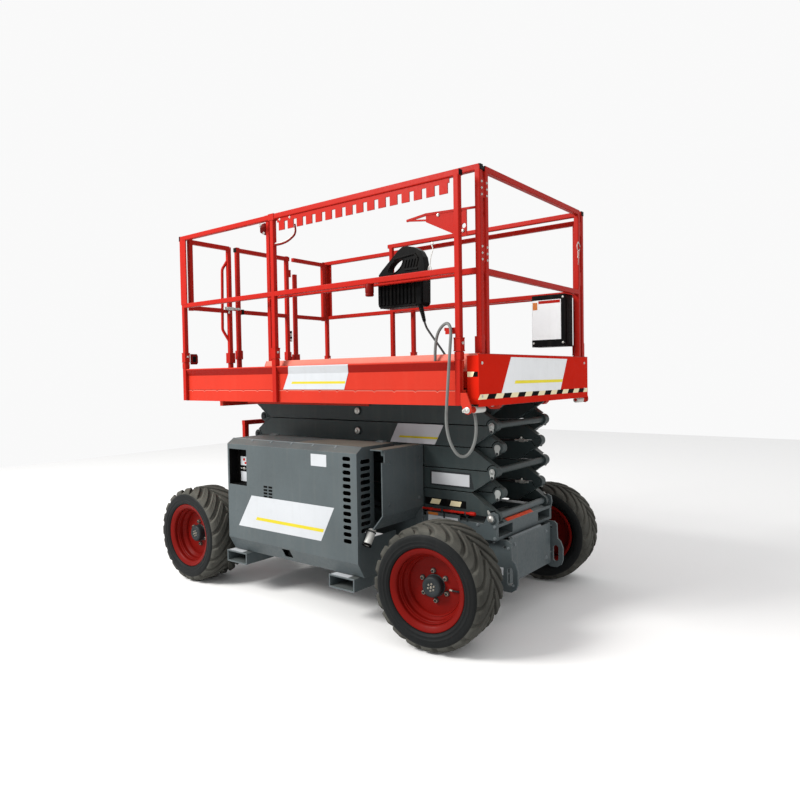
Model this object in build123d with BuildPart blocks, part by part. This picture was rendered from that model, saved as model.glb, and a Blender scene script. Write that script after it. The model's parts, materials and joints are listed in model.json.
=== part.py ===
"""Self-propelled rough-terrain scissor lift: five scissor stages, a roll-out
deck extension, swing-out side trays, four-wheel drive and front steering.

Frame: millimetres, +Z up, +X towards the extension and the steered axle,
+Y to the machine's left. The origin is on the ground under the middle.
"""
import os
from math import sin, cos, radians, asin, degrees, tan, hypot
from build123d import *

os.makedirs("parts", exist_ok=True)

# ---------------------------------------------------------------- dimensions
# wheels
AXLE_X = 1020          # front and rear axle, from the middle
TYRE_R = 330           # 26 x 12 foam-filled tyre
TYRE_W = 300
WHEEL_Y = 725          # middle of the tyre
KING_Y = 500           # kingpin
RIM_R = 215
STEER_ARM = 120
STEER_REST = 7.0       # both front wheels stand turned to the left

# scissor stack
PIN_X_FRONT = 1165     # pins of the front column
ARM_LEN = 2034         # pin to pin
STAGE = 131            # rise per stage when stowed
PIN_Z0 = 625           # lowest pins
STAGES = 5
ARM_GAP = 3            # half of the gap between stacked arms
OUT_Y0, OUT_Y1 = 285, 335     # outer arm bars
IN_Y0, IN_Y1 = 225, 275       # inner arm bars
EYE_R = 34
PIN_R = 20
ARM_CUT = 150          # taper of the free corners
REST_ANGLE = degrees(asin(STAGE / ARM_LEN))
PIN_X_REAR = PIN_X_FRONT - ARM_LEN * cos(radians(REST_ANGLE))
PIN_X_MID = (PIN_X_FRONT + PIN_X_REAR) / 2

# lift cylinders, on inner arms 1 and 3
CYL_BASE = 1500        # base pivot, back from the front pin
CYL_EYE = 340          # rod eye, back from the front pin
CYL_R = 45
ROD_R = 28

# chassis
FRAME_X0, FRAME_X1 = -1180, 1197
FRAME_Y0, FRAME_Y1 = 285, 355
FRAME_Z0, FRAME_Z1 = 430, 590
POCKET_Y0, POCKET_Y1 = 165, 330
# side plate of the axle guard, outline in x and z
GUARD_PLATE = [(1062, 499.5), (1246, 499.5), (1262, 484), (1266, 392), (1286, 376), (1302, 336),
               (1302, 258), (1290, 226), (1262, 207), (1216, 205), (1190, 226), (1184, 300),
               (1098, 330), (1098, 400), (1062, 400)]

LADDER_X = -1222

# side trays
TRAY_X0, TRAY_X1 = -614, 556
TRAY_YO, TRAY_YI = 810, 460
TRAY_Z0, TRAY_Z1 = 280, 1035
SHEET = 4
MUD_Z = 1024          # top of the mudguards

# platform
DECK_X0, DECK_X1 = -1184, 1228
DECK_Y = 757           # outer face of the rail posts
TOE_Y = 735            # outer face of the toe boards
FLOOR_Z = 1365
SKIRT_Z = 1283
TOE_Z = 1515
FLARE_X = [(-1149, -207), (-165, 1192)]   # where the toe boards' tops flare out, between the posts
TOP_Z = 2482
MID_Z = 1993
TUBE = 32
TUBE_R = 5
GATE_Y = 290

# extension
EXT_X0, EXT_X1 = -356, 1302
EXT_Y = 666
EXT_TOP_Z = 2517
EXT_TOE_Z = 1550
EXT_TOE_Y = 706
EXT_TRAVEL = 1520


def pin_z(k):
    return PIN_Z0 + k * STAGE


# ------------------------------------------------------------------- helpers
def slab(x0, x1, y0, y1, z0, z1, mode=Mode.ADD):
    """A box between two corners."""
    with Locations(((x0 + x1) / 2, (y0 + y1) / 2, (z0 + z1) / 2)):
        Box(abs(x1 - x0), abs(y1 - y0), abs(z1 - z0), mode=mode)


def rod(a, b, r, mode=Mode.ADD):
    """A round bar from a to b."""
    a, b = Vector(*a), Vector(*b)
    with BuildSketch(Plane(origin=a, z_dir=(b - a))) as section:
        Circle(r)
    extrude(section.sketch, amount=(b - a).length, mode=mode)


def tube(a, b, w=TUBE, h=TUBE, side=(0, 1, 0)):
    """A square rail tube from a to b, w wide along side."""
    a, b = Vector(*a), Vector(*b)
    with BuildSketch(Plane(origin=a, x_dir=side, z_dir=(b - a))) as section:
        RectangleRounded(w, h, TUBE_R)
    extrude(section.sketch, amount=(b - a).length)


def drum(y0, y1, x, z, r, mode=Mode.ADD):
    """A round bar along Y."""
    rod((x, y0, z), (x, y1, z), r, mode)


def prism_y(points, y0, y1, mode=Mode.ADD):
    """A plate of an XZ outline, between y0 and y1."""
    lo, hi = min(y0, y1), max(y0, y1)
    with BuildSketch(Plane.XZ.offset(-hi)) as section:
        with BuildLine():
            Polyline(*points, close=True)
        make_face()
    extrude(section.sketch, amount=hi - lo, mode=mode)


def turned(piece, x, y):
    """Turns a steered piece about its kingpin, to where the wheels stand."""
    piece.part = piece.part.rotate(Axis((x, y, 0), (0, 0, 1)), STEER_REST)


def finish(piece, label):
    piece.part.label = label
    export_step(piece.part, "parts/" + label + ".step")
    n = len(piece.part.solids())
    b = piece.part.bounding_box()
    print("%-22s %2d solids  x %6.0f..%6.0f  y %6.0f..%6.0f  z %6.0f..%6.0f  %.1f l" % (
        label, n, b.min.X, b.max.X, b.min.Y, b.max.Y, b.min.Z, b.max.Z,
        piece.part.volume / 1e6))


# -------------------------------------------------------------------- wheels
# name of corner, axle x, side
CORNERS = [
    ("front_right", AXLE_X, -1),
    ("front_left", AXLE_X, 1),
    ("rear_right", -AXLE_X, -1),
    ("rear_left", -AXLE_X, 1),
]
for corner, ax, s in CORNERS:
    # profiles are half sections: radius along X, distance from the machine's middle along Y
    with BuildPart() as rim:
        with BuildSketch(Plane(origin=(ax, 0, TYRE_R), x_dir=(0, 0, -1), z_dir=(1, 0, 0))):
            with BuildLine():
                # radius, y
                Polyline(
                    (RIM_R - 4, s * 605), (RIM_R - 4, s * 613), (192, s * 622), (192, s * 838),
                    (212, s * 847), (RIM_R + 3, s * 850), (RIM_R + 4, s * 856), (RIM_R, s * 858),
                    (204, s * 854), (187, s * 846), (185, s * 822), (174, s * 812), (172, s * 790),
                    (160, s * 776), (156, s * 762), (150, s * 758), (56, s * 758), (54, s * 796),
                    (48, s * 802), (0, s * 802), (0, s * 700), (60, s * 700), (60, s * 744), (158, s * 744),
                    (184, s * 750), (184, s * 622), (198, s * 605), close=True)
            make_face()
        revolve(axis=Axis((ax, 0, TYRE_R), (0, 1, 0)))
    if ax > 0:
        turned(rim, ax, s * KING_Y)
    finish(rim, "rim_" + corner)
    with BuildPart() as tyre:
        with BuildSketch(Plane(origin=(ax, 0, TYRE_R), x_dir=(0, 0, -1), z_dir=(1, 0, 0))):
            with BuildLine():
                Polyline(
                    (193.5, s * 623), (213, s * 614.5), (222, s * 600), (245, s * 582), (275, s * 575),
                    (296, s * 578), (312, s * 586), (324, s * 603), (TYRE_R, s * 632), (TYRE_R, s * 818),
                    (324, s * 847), (312, s * 864), (296, s * 873), (275, s * 876), (245, s * 873),
                    (228, s * 868), (221, s * 860), (221, s * 848.5), (213, s * 845.5), (193.5, s * 837),
                    close=True)
            make_face()
        revolve(axis=Axis((ax, 0, TYRE_R), (0, 1, 0)))
    if ax > 0:
        turned(tyre, ax, s * KING_Y)
    finish(tyre, "tyre_" + corner)

for side_name, s in (("right", -1), ("left", 1)):
    with BuildPart() as knuckle:
        rod((AXLE_X, s * KING_Y, 232), (AXLE_X, s * KING_Y, 428), 42)
        rod((AXLE_X, s * KING_Y, 196), (AXLE_X, s * KING_Y, 464), 18)
        drum(s * (KING_Y + 20), s * 640, AXLE_X, TYRE_R, 58)
        drum(s * 640, s * 697, AXLE_X, TYRE_R, 75)
        slab(AXLE_X - STEER_ARM - 22, AXLE_X - 20, s * (KING_Y - 22), s * (KING_Y + 22), 296, 320)
    turned(knuckle, AXLE_X, s * KING_Y)
    finish(knuckle, "knuckle_" + side_name)

with BuildPart() as steering_rod:
    shift = -STEER_ARM * radians(STEER_REST)
    drum(-KING_Y + 60 + shift, KING_Y - 60 + shift, AXLE_X - STEER_ARM - 62, 308, 16)
finish(steering_rod, "steering_rod")

# ------------------------------------------------------------------- chassis
with BuildPart() as frame:
    for s in (-1, 1):
        slab(FRAME_X0, FRAME_X1, s * FRAME_Y0, s * FRAME_Y1, FRAME_Z0, FRAME_Z1)
        slab(1056, FRAME_X1 + 1, s * (FRAME_Y0 - 1), s * (FRAME_Y1 + 1), FRAME_Z0 - 1, 500, mode=Mode.SUBTRACT)
        # the front pocket runs on into the end of the rail
        slab(1060, FRAME_X1 + 1, s * (FRAME_Y0 - 1), s * POCKET_Y1, 517, 573, mode=Mode.SUBTRACT)
        # ear and pin for the lowest outer arm
        prism_y([(1105, 570), (FRAME_X1, 570), (1207, 612), (1201, 650), (1175, 662), (1145, 650)],
                s * 341, s * FRAME_Y1)
        drum(0, s * 363, PIN_X_FRONT, PIN_Z0, PIN_R)
        drum(s * 355, s * 366, PIN_X_FRONT, PIN_Z0, 26)
    for x0, x1, z0, z1 in [
        (-1180, -1140, 430, 590), (-840, -760, 440, 540), (-200, -120, 440, 540),
        (420, 500, 440, 540), (900, 1050, 440, 560),
    ]:
        slab(x0, x1, -FRAME_Y0, FRAME_Y0, z0, z1)
    # rear cross plate that carries the ladder
    slab(-1190, -1180, -FRAME_Y1, FRAME_Y1, 380, 600)
    # floor plate under the stack
    slab(-1140, 900, -FRAME_Y0, FRAME_Y0, 430, 438)
    # axle mounts
    for ax in (-AXLE_X, AXLE_X):
        for s in (-1, 1):
            slab(ax - 70, ax + 70, s * 180, s * 285, 395, 440)
finish(frame, "chassis_frame")

with BuildPart() as crossmember:
    slab(1060, FRAME_X1, -FRAME_Y0, FRAME_Y0, 500, FRAME_Z1)
    # turned-up front lip that carries the lamp strip
    prism_y([(1150, 590), (FRAME_X1, 590), (1176, 602), (1168, 602)], -262, 262)
    for s in (-1, 1):
        slab(1060, FRAME_X1 + 1, s * POCKET_Y0, s * (FRAME_Y0 + 1), 517, 573, mode=Mode.SUBTRACT)
finish(crossmember, "front_crossmember")

with BuildPart() as guard:
    # bent guard in front of the axle, between two side plates with tie-down slots
    slab(1224, 1230, -262, 262, 240, 496)
    for s in (-1, 1):
        prism_y([(1140, 300), (1230, 240), (1230, 494), (1140, 494)], s * 262, s * 268)
        slab(1140, 1228, s * 266, s * 296, 470, 476)
        slab(1200, 1228, s * 266, s * 296, 300, 306)
        with BuildSketch(Plane.XZ.offset(-s * 301 - 6)) as plate:
            with BuildLine():
                Polyline(*GUARD_PLATE, close=True)
            make_face()
            with Locations((1254, 296)):
                SlotOverall(103, 36, rotation=90, mode=Mode.SUBTRACT)
            with Locations((1113, 455), (1220, 459), (1166, 380)):
                Rectangle(16, 16, mode=Mode.SUBTRACT)
        extrude(plate.sketch, amount=12)
    # folded top edge
    prism_y([(1230, 490), (1216, 503), (1206, 503), (1224, 486)], -246, 158)
finish(guard, "axle_guard")

with BuildPart() as front_axle:
    slab(AXLE_X - 65, AXLE_X + 65, -430, 430, 262, 392)
    rod((AXLE_X - 110, 0, TYRE_R), (AXLE_X + 110, 0, TYRE_R), 95)
    for s in (-1, 1):
        slab(AXLE_X - 50, AXLE_X + 50, s * 405, s * 440, 200, 460)
        for z0, z1 in ((200, 224), (436, 460)):
            slab(AXLE_X - 40, AXLE_X + 40, s * 420, s * (KING_Y + 10), z0, z1)
            rod((AXLE_X, s * KING_Y, z0), (AXLE_X, s * KING_Y, z1), 40)
            rod((AXLE_X, s * KING_Y, z0 - 1), (AXLE_X, s * KING_Y, z1 + 1), 19, Mode.SUBTRACT)
    # steering cylinder
    drum(-200, 200, AXLE_X - STEER_ARM - 62, 308, 38)
    drum(-201, 201, AXLE_X - STEER_ARM - 62, 308, 17, Mode.SUBTRACT)
    slab(AXLE_X - 155, AXLE_X - 60, -60, 60, 296, 320)
finish(front_axle, "front_axle")

with BuildPart() as rear_axle:
    slab(-AXLE_X - 65, -AXLE_X + 65, -560, 560, 262, 392)
    rod((-AXLE_X - 110, 0, TYRE_R), (-AXLE_X + 110, 0, TYRE_R), 95)
    drum(-640, 640, -AXLE_X, TYRE_R, 58)
    for s in (-1, 1):
        drum(s * 600, s * 697, -AXLE_X, TYRE_R, 75)
finish(rear_axle, "rear_axle")

with BuildPart() as fork_pockets:
    for x in (-541, 420):
        slab(x - 99, x + 99, -808, 808, 200, 274)
        slab(x - 92, x + 92, -809, 809, 207, 267, mode=Mode.SUBTRACT)
        for s in (-1, 1):
            slab(x - 60, x + 60, s * 200, s * 285, 274, 430)
finish(fork_pockets, "fork_pockets")

# mudguards: face, top shelf, foot plate against the frame
for side_name, s in (("right", -1), ("left", 1)):
    with BuildPart() as mudguard:
        prism_y([(684, 652), (690, 652), (690, MUD_Z), (684, MUD_Z)], s * 352, s * 745)
        prism_y([(684, 650), (612, 566), (618, 562), (690, 648), (690, 656), (684, 656)], s * 357, s * 745)
        slab(604, 690, s * 352, s * 745, MUD_Z - 6, MUD_Z)
        slab(60, 560, s * 345, s * 448, 1000, 1006)
        prism_y([(640, 480), (690, 480), (690, MUD_Z), (640, MUD_Z)], s * 355, s * 361)
        slab(60, 66, s * 345, s * 448, 590, 1006)
        slab(60, 66, s * 355, s * 448, 480, 600)
        slab(680, 691, s * 722, s * 746, 952, MUD_Z - 6.5, mode=Mode.SUBTRACT)
    finish(mudguard, "mudguard_" + side_name)

with BuildPart() as ladder:
    for s in (-1, 1):
        tube((LADDER_X, s * 168, 300), (LADDER_X, s * 168, 1100), 42, 36)
    tube((LADDER_X, -189, 1082), (LADDER_X, 189, 1082), 36, 36, side=(1, 0, 0))
    for z in (320, 570, 820):
        slab(LADDER_X - 42, LADDER_X + 24, -170, 170, z, z + 26)
    for s in (-1, 1):
        slab(LADDER_X + 18, -1190, s * 148, s * 188, 440, 560)
finish(ladder, "rear_ladder")

with BuildPart() as prop:
    # stowed maintenance prop with its clip, beside the frame
    rod((700, -372, 638), (1040, -372, 641), 8)
    rod((1030, -372, 641), (1072, -372, 641), 12)
    slab(838, 852, -383, -355, 582, 650)
    slab(1000, 1008, -376, -355, 584, 634)
finish(prop, "safety_prop")

# ---------------------------------------------------------------- side trays
# side, sign, heavy block as x0, x1, y0, y1, z0, z1
TRAYS = [
    ("right", -1, "engine_block", (-330, 330, 500, 760, 340, 900)),
    ("left", 1, "hydraulic_tank", (-470, 60, 500, 760, 340, 860)),
]
for side_name, s, block_name, (bx0, bx1, by0, by1, bz0, bz1) in TRAYS:
    with BuildPart() as cover:
        section = [(TRAY_YO, 370), (TRAY_YO, 1002), (TRAY_YO - 50, TRAY_Z1),
                   (TRAY_YI, TRAY_Z1), (TRAY_YI, TRAY_Z0), (TRAY_YO - 52, TRAY_Z0)]
        inside = [(TRAY_YO - SHEET, 372), (TRAY_YO - SHEET, 1000), (TRAY_YO - 51, TRAY_Z1 - SHEET),
                  (TRAY_YI - 1, TRAY_Z1 - SHEET), (TRAY_YI - 1, TRAY_Z0 - 1), (TRAY_YO - 56, TRAY_Z0 - 1)]
        with BuildSketch(Plane.YZ.offset(TRAY_X0)):
            with BuildLine():
                Polyline(*[(s * y, z) for y, z in section], close=True)
            make_face()
        extrude(amount=TRAY_X1 - TRAY_X0)
        with BuildSketch(Plane.YZ.offset(TRAY_X0 + SHEET)):
            with BuildLine():
                Polyline(*[(s * y, z) for y, z in inside], close=True)
            make_face()
        extrude(amount=TRAY_X1 - TRAY_X0 - 2 * SHEET, mode=Mode.SUBTRACT)
        # cooling slots, on the outer face and on the front end
        with BuildSketch(Plane.XZ.offset(-s * TRAY_YO - 10)):
            with Locations(*[(477.5, 491.5 + i * 39.8) for i in range(13)]):
                SlotOverall(63, 25)
        extrude(amount=20, mode=Mode.SUBTRACT)
        with BuildSketch(Plane.YZ.offset(TRAY_X1 - 10)):
            with Locations(*[(s * 734, 552.5 + i * 39.8) for i in range(11)]):
                SlotOverall(88, 25)
        extrude(amount=20, mode=Mode.SUBTRACT)
        # open rear part of the front end
        slab(TRAY_X1 - 10, TRAY_X1 + 10, s * (TRAY_YI - 1), s * 660, 500, 1010, mode=Mode.SUBTRACT)
        # ground control recess, closed behind
        if s < 0:
            slab(-604, -412, -TRAY_YO - 5, -TRAY_YO + 84, 724, 975, mode=Mode.ADD)
            slab(-598, -418, -TRAY_YO - 6, -TRAY_YO + 80, 730, 969, mode=Mode.SUBTRACT)
            slab(-620, -400, -TRAY_YO - 8, -TRAY_YO, 700, 1000, mode=Mode.SUBTRACT)
        slab(-95, -22, s * (TRAY_YO - 60), s * (TRAY_YO + 1), 305, 362, mode=Mode.SUBTRACT)
    finish(cover, "cover_" + side_name)
    with BuildPart() as tray:
        slab(TRAY_X0 + 8, TRAY_X1 - 8, s * (TRAY_YI + 2), s * (TRAY_YO - 62), TRAY_Z0 + 1, TRAY_Z0 + 6)
        slab(TRAY_X0 + 8, TRAY_X1 - 8, s * (TRAY_YI + 6), s * (TRAY_YI + 14), TRAY_Z0 + 5, 400)
        for bx in (bx0 + 20, bx1 - 60):
            slab(bx, bx + 40, s * (by0), s * (by1 - 40), TRAY_Z0 + 5, 340)
        # hinge knuckle on the rear pocket
        rod((-560, s * 724, TRAY_Z0 - 1), (-560, s * 724, TRAY_Z0 + 4), 24)
    finish(tray, "tray_" + side_name)
    with BuildPart() as block:
        slab(bx0, bx1, s * by0, s * by1, bz0, bz1)
    finish(block, block_name)

with BuildPart() as exhaust:
    rod((586, -712, 556), (586, -768, 472), 24)
    rod((586, -772, 466), (586, -722, 541), 20, Mode.SUBTRACT)
    slab(556.5, 576, -742, -714, 526, 552)
finish(exhaust, "exhaust_pipe")

# -------------------------------------------------------------- scissor arms
# set, inner face, outer face, low pin of an odd arm at the front
SETS = [("outer", OUT_Y0, OUT_Y1, True), ("inner", IN_Y0, IN_Y1, False)]
LAP = 2  # gap between the two halves of a joint
for set_name, y0, y1, odd_low_front in SETS:
    ym = (y0 + y1) / 2
    for k in range(1, STAGES + 1):
        low_front = odd_low_front == (k % 2 == 1)
        zl, zh = pin_z(k - 1), pin_z(k)
        xl, xh = (PIN_X_FRONT, PIN_X_REAR) if low_front else (PIN_X_REAR, PIN_X_FRONT)
        d = 1 if low_front else -1            # the low end points this way
        b, t = zl + ARM_GAP, zh - ARM_GAP
        outline = [
            (xl + d * 10, b + 4), (xl + d * 30, zl + 20), (xl - d * (ARM_CUT - 10), t),
            (xh - d * 10, t - 4 if k < 6 else t), (xh - d * 30, zh - 20), (xh + d * (ARM_CUT - 10), b),
        ]
        with BuildPart() as arm:
            for s in (-1, 1):
                prism_y([(xl, b), (xl + d * 22, zl + 24), (xl - d * (ARM_CUT - 10), t), (xh, t),
                         (xh - d * 22, zh - 24), (xh + d * (ARM_CUT - 10), b)], s * y0, s * y1)
                # low eye on the inner half, high eye on the outer half
                drum(s * y0, s * (ym - LAP / 2), xl, zl, EYE_R)
                drum(s * (ym + LAP / 2), s * y1, xh, zh, EYE_R)
                drum(s * (ym - LAP / 2), s * (y1 + 2), xl, zl, EYE_R + 6, Mode.SUBTRACT)
                drum(s * (y0 - 2), s * (ym + LAP / 2), xh, zh, EYE_R + 6, Mode.SUBTRACT)
                # bore of the low eye
                drum(s * (y0 - 1), s * (y1 + 1), xl, zl, PIN_R + 1, Mode.SUBTRACT)
            # high pin: a tube right across
            reach = y1 + 5
            if set_name == "inner" and k == STAGES:
                reach = 330
            if set_name == "inner" and k in (1, 3):
                # the two front joints of the inner arms have short pins
                for s in (-1, 1):
                    drum(s * (y0 - 4), s * reach, xh, zh, PIN_R)
            else:
                drum(-reach, reach, xh, zh, PIN_R)
            if set_name == "outer":
                # middle pins for the inner arm
                for s in (-1, 1):
                    drum(s * (IN_Y0 - 3), s * (y1 + 6), PIN_X_MID, (zl + zh) / 2, PIN_R)
                    drum(s * y1, s * (y1 + 8), PIN_X_MID, (zl + zh) / 2, 28)
                if k == STAGES:
                    for s in (-1, 1):   # rollers in the deck's track
                        drum(s * 290, s * 338, xh, zh, 25)
            else:
                for s in (-1, 1):
                    drum(s * (y0 - 1), s * (y1 + 1), PIN_X_MID, (zl + zh) / 2, PIN_R + 1, Mode.SUBTRACT)
                if k == 1:
                    for s in (-1, 1):   # rollers on the chassis rails
                        drum(s * (y0), s * 340, xl, zl, 18)
                        drum(s * 288, s * 340, xl, zl, 30)
                        drum(s * y0, s * y1, xl, zl, PIN_R + 2)
                if k in (1, 3):
                    # base tube of a lift cylinder
                    bz = zh - CYL_BASE * sin(radians(REST_ANGLE)) + 10
                    for s in (-1, 1):
                        drum(s * 50, s * y0, PIN_X_FRONT - CYL_BASE, bz, 24)
                        slab(PIN_X_FRONT - CYL_BASE - 40, PIN_X_FRONT - CYL_BASE + 40,
                             s * 50, s * 62, bz - 40, bz + 40)
                    drum(-55, 55, PIN_X_FRONT - CYL_BASE, bz, 15)
                if k in (2, 4):
                    # lugs beside the rod's eye
                    ez = zl + 30
                    for s in (-1, 1):
                        drum(s * 52, s * y0, PIN_X_FRONT - CYL_EYE, ez + 15, 24)
                        slab(PIN_X_FRONT - CYL_EYE - 40, PIN_X_FRONT - CYL_EYE + 40,
                             s * 40, s * 54, ez - 20, ez + 45)
        finish(arm, "%s_arm_%d" % (set_name, k))

# ------------------------------------------------------------ lift cylinders
for name, k in (("lower", 1), ("upper", 3)):
    bz = pin_z(k) - CYL_BASE * sin(radians(REST_ANGLE)) + 10
    bx = PIN_X_FRONT - CYL_BASE
    ex, ez = PIN_X_FRONT - CYL_EYE, pin_z(k) + 30
    length = hypot(ex - bx, ez - bz)
    ux, uz = (ex - bx) / length, (ez - bz) / length
    at = lambda d: (bx + ux * d, 0, bz + uz * d)
    with BuildPart() as barrel:
        drum(-38, 38, bx, bz, 34)
        rod(at(30), at(900), CYL_R)
        rod(at(870), at(905), CYL_R + 6)
        rod(at(120), at(906), ROD_R + 2, Mode.SUBTRACT)
        drum(-39, 39, bx, bz, 16, Mode.SUBTRACT)
    finish(barrel, "cylinder_%s" % name)
    with BuildPart() as piston:
        rod(at(140), at(length - 20), ROD_R)
        drum(-30, 30, ex, ez, 36)
        drum(-31, 31, ex, ez, 18, Mode.SUBTRACT)
    finish(piston, "rod_%s" % name)

# ------------------------------------------------------------------ platform
with BuildPart() as deck:
    slab(DECK_X0, DECK_X1, -TOE_Y + 6, TOE_Y - 6, 1335, FLOOR_Z)
    for s in (-1, 1):
        slab(DECK_X0, DECK_X1, s * (TOE_Y - 8), s * TOE_Y, SKIRT_Z, FLOOR_Z)   # side channel
        slab(DECK_X0, DECK_X1, s * (TOE_Y - 50), s * TOE_Y, SKIRT_Z, SKIRT_Z + 8)
        # toe board; its top edge flares outwards between the posts
        profiles = [(DECK_X0, DECK_X1, [(TOE_Y, FLOOR_Z - 2), (TOE_Y, TOE_Z), (TOE_Y - 16, TOE_Z),
                                        (TOE_Y - 16, TOE_Z - 42), (TOE_Y - 5, TOE_Z - 46), (TOE_Y - 5, FLOOR_Z - 2)])]
        for x0, x1 in FLARE_X:
            profiles.append((x0, x1, [(TOE_Y - 1, TOE_Z - 52), (TOE_Y + 20, TOE_Z - 7), (TOE_Y + 20, TOE_Z), (TOE_Y - 1, TOE_Z)]))
        for x0, x1, prism in profiles:
            with BuildSketch(Plane.YZ.offset(x0)):
                with BuildLine():
                    Polyline(*[(s * y, z) for y, z in prism], close=True)
                make_face()
            extrude(amount=x1 - x0)
        # rear toe boards beside the gate
        slab(DECK_X0, DECK_X0 + 5, s * 310, s * 716, SKIRT_Z, TOE_Z)
        # long beams and the roller track
        slab(-1150, 1215, s * 362, s * 402, 1287, 1336)
        slab(-960, 260, s * 346, s * 352, 1248, 1336)
        # front pin ears
        prism_y([(1115, 1336), (1125, 1262), (1145, 1246), (1185, 1246), (1203, 1262), (1209, 1336)],
                s * 284, s * 324)
        drum(s * 283, s * 325, PIN_X_FRONT, pin_z(5), PIN_R + 1, Mode.SUBTRACT)
        # extension roller bracket and roller
        prism_y([(1228, 1284), (1228, 1350), (1262, 1350), (1288, 1282), (1291, 1262), (1286, 1248), (1270, 1240), (1254, 1244), (1240, 1262), (1234, 1284)],
                s * (DECK_Y - 8), s * DECK_Y)
        slab(1226, 1234, s * (TOE_Y - 8), s * DECK_Y, 1290, 1350)
        drum(s * 600, s * (DECK_Y + 3), 1266, 1262, 9)
        drum(s * 600, s * 700, 1266, 1262, 17)
    slab(DECK_X0, DECK_X0 + 30, -310, 310, SKIRT_Z, 1336)
    # step lip under the gate
    slab(DECK_X0, DECK_X0 + 40, -440, 440, 1230, SKIRT_Z + 1)
finish(deck, "deck")

POST_R = 5
# rail panels: side, sign; posts as x, top z
for side_name, s in (("right", -1), ("left", 1)):
    yc = s * (DECK_Y - TUBE / 2)
    with BuildPart() as panel:
        tube((DECK_X0, yc, TOP_Z - TUBE / 2), (1232, yc, TOP_Z - TUBE / 2))
        tube((DECK_X0 + 20, yc, MID_Z - TUBE / 2), (1225, yc, MID_Z - TUBE / 2))
        for x in (DECK_X0 + TUBE / 2 - 2, -186, 1213):
            tube((x, yc, TOE_Z + 1), (x, yc, TOP_Z - 10))
            # foot beside the toe board, and the folding knuckle above it
            slab(x - 18, x + 18, s * (DECK_Y - TUBE - 2), s * (DECK_Y + 3), 1519, 1560)
            slab(x - 20, x + 20, s * (DECK_Y - TUBE - 4), s * (DECK_Y + 4), 1568, 1632)
            tube((x, yc, 1545), (x, yc, 1600), TUBE - 4, TUBE - 4)
            # socket outside the toe board
            slab(x - 17, min(x + 17, 1225), s * (TOE_Y + 0.5), s * (DECK_Y + 1), SKIRT_Z + 2, 1530)
        if s < 0:   # cable hanger on the front post
            slab(1138, 1199, s * 748, s * 756, 1652, 1684)
        # wide plate on the upper rear post
        slab(DECK_X0 - 4, DECK_X0 + 66, s * (DECK_Y - 6), s * (DECK_Y + 2), MID_Z - 10, TOP_Z - TUBE)
        slab(-212, -160, yc - 19, yc + 19, TOP_Z - 38, TOP_Z + 3)
    finish(panel, "rail_" + side_name)

with BuildPart() as comb:
    # latch rack of the extension, under the right top rail
    yc = -(DECK_Y - 12)
    slab(-138, 1168, yc - 3, yc + 3, TOP_Z - 58, TOP_Z - TUBE)
    for i in range(16):
        slab(-124 + i * 82, -72 + i * 82, yc - 3, yc + 3, TOP_Z - 110, TOP_Z - 56)
finish(comb, "latch_rack")

with BuildPart() as rear_rail:
    for s in (-1, 1):
        xc = DECK_X0 + 5 + TUBE / 2
        # the left panel's inner post stops short of its top rail
        tube((xc, s * 345, FLOOR_Z), (xc, s * 345, 2460 if s < 0 else 2326), side=(1, 0, 0))
        tube((xc, s * (345 if s < 0 else 326), 2450), (xc, s * 700, 2450), side=(1, 0, 0))
        tube((xc, s * 345, 1965), (xc, s * 700, 1965), side=(1, 0, 0))
        tube((xc, s * 690, 1946), (xc, s * 690, 2469), side=(1, 0, 0))
        slab(xc - 24, xc + 24, s * 320, s * 370, 1560, 1640)
        if s > 0:
            continue
        # grab handle
        with BuildLine() as grip:
            FilletPolyline((xc, s * 352, 2362), (xc - 30, s * 384, 2290), (xc - 34, s * 390, 1820),
                           (xc, s * 352, 1728), radius=60)
        with BuildSketch(Plane(origin=grip.line @ 0, z_dir=grip.line % 0)) as section:
            Circle(11)
        sweep(section.sketch, path=grip.line)
finish(rear_rail, "rail_rear")

with BuildPart() as gate:
    xc = DECK_X0 + TUBE / 2
    for y in (-258, 258):
        tube((xc, y, 1400), (xc, y, 2470), side=(1, 0, 0))
    tube((xc, -277, 2450), (xc, 277, 2450), side=(1, 0, 0))
    tube((xc, -258, 1965), (xc, 258, 1965), side=(1, 0, 0))
    slab(xc - 3, xc + 3, -258, 258, 1400, 1515)
    for z in (1560, 2300):
        rod((xc, 292, z), (xc, 292, z + 60), 12)
        slab(xc - 8, xc + 8, 262, 292, z, z + 60)
    # latch
    slab(xc - 30, xc - 18, -312, -230, 1975, 1990)
finish(gate, "gate")

with BuildPart() as ext_deck:
    slab(EXT_X0, EXT_X1, -690, 690, 1371, 1383)
    for s in (-1, 1):
        # side toe board with a sloping top, beside the rail
        with BuildSketch(Plane.YZ.offset(EXT_X0)) as section:
            with BuildLine():
                Polyline((s * 690, 1371), (s * 690, 1520), (s * 676, 1552), (s * 672, 1552),
                         (s * 686, 1518), (s * 686, 1371), close=True)
            make_face()
        extrude(section.sketch, amount=EXT_X1 - EXT_X0)
    # front toe board, folded side pieces and lip
    slab(EXT_X1 - 0.5, EXT_X1 + 4, -EXT_TOE_Y, EXT_TOE_Y, 1277, EXT_TOE_Z)
    for s in (-1, 1):
        slab(1236, EXT_X1 + 4, s * (EXT_TOE_Y - 6), s * EXT_TOE_Y, 1290, EXT_TOE_Z - 10)
    slab(1240, EXT_X1, -690, 690, 1300, 1306)
finish(ext_deck, "extension_deck")

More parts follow.
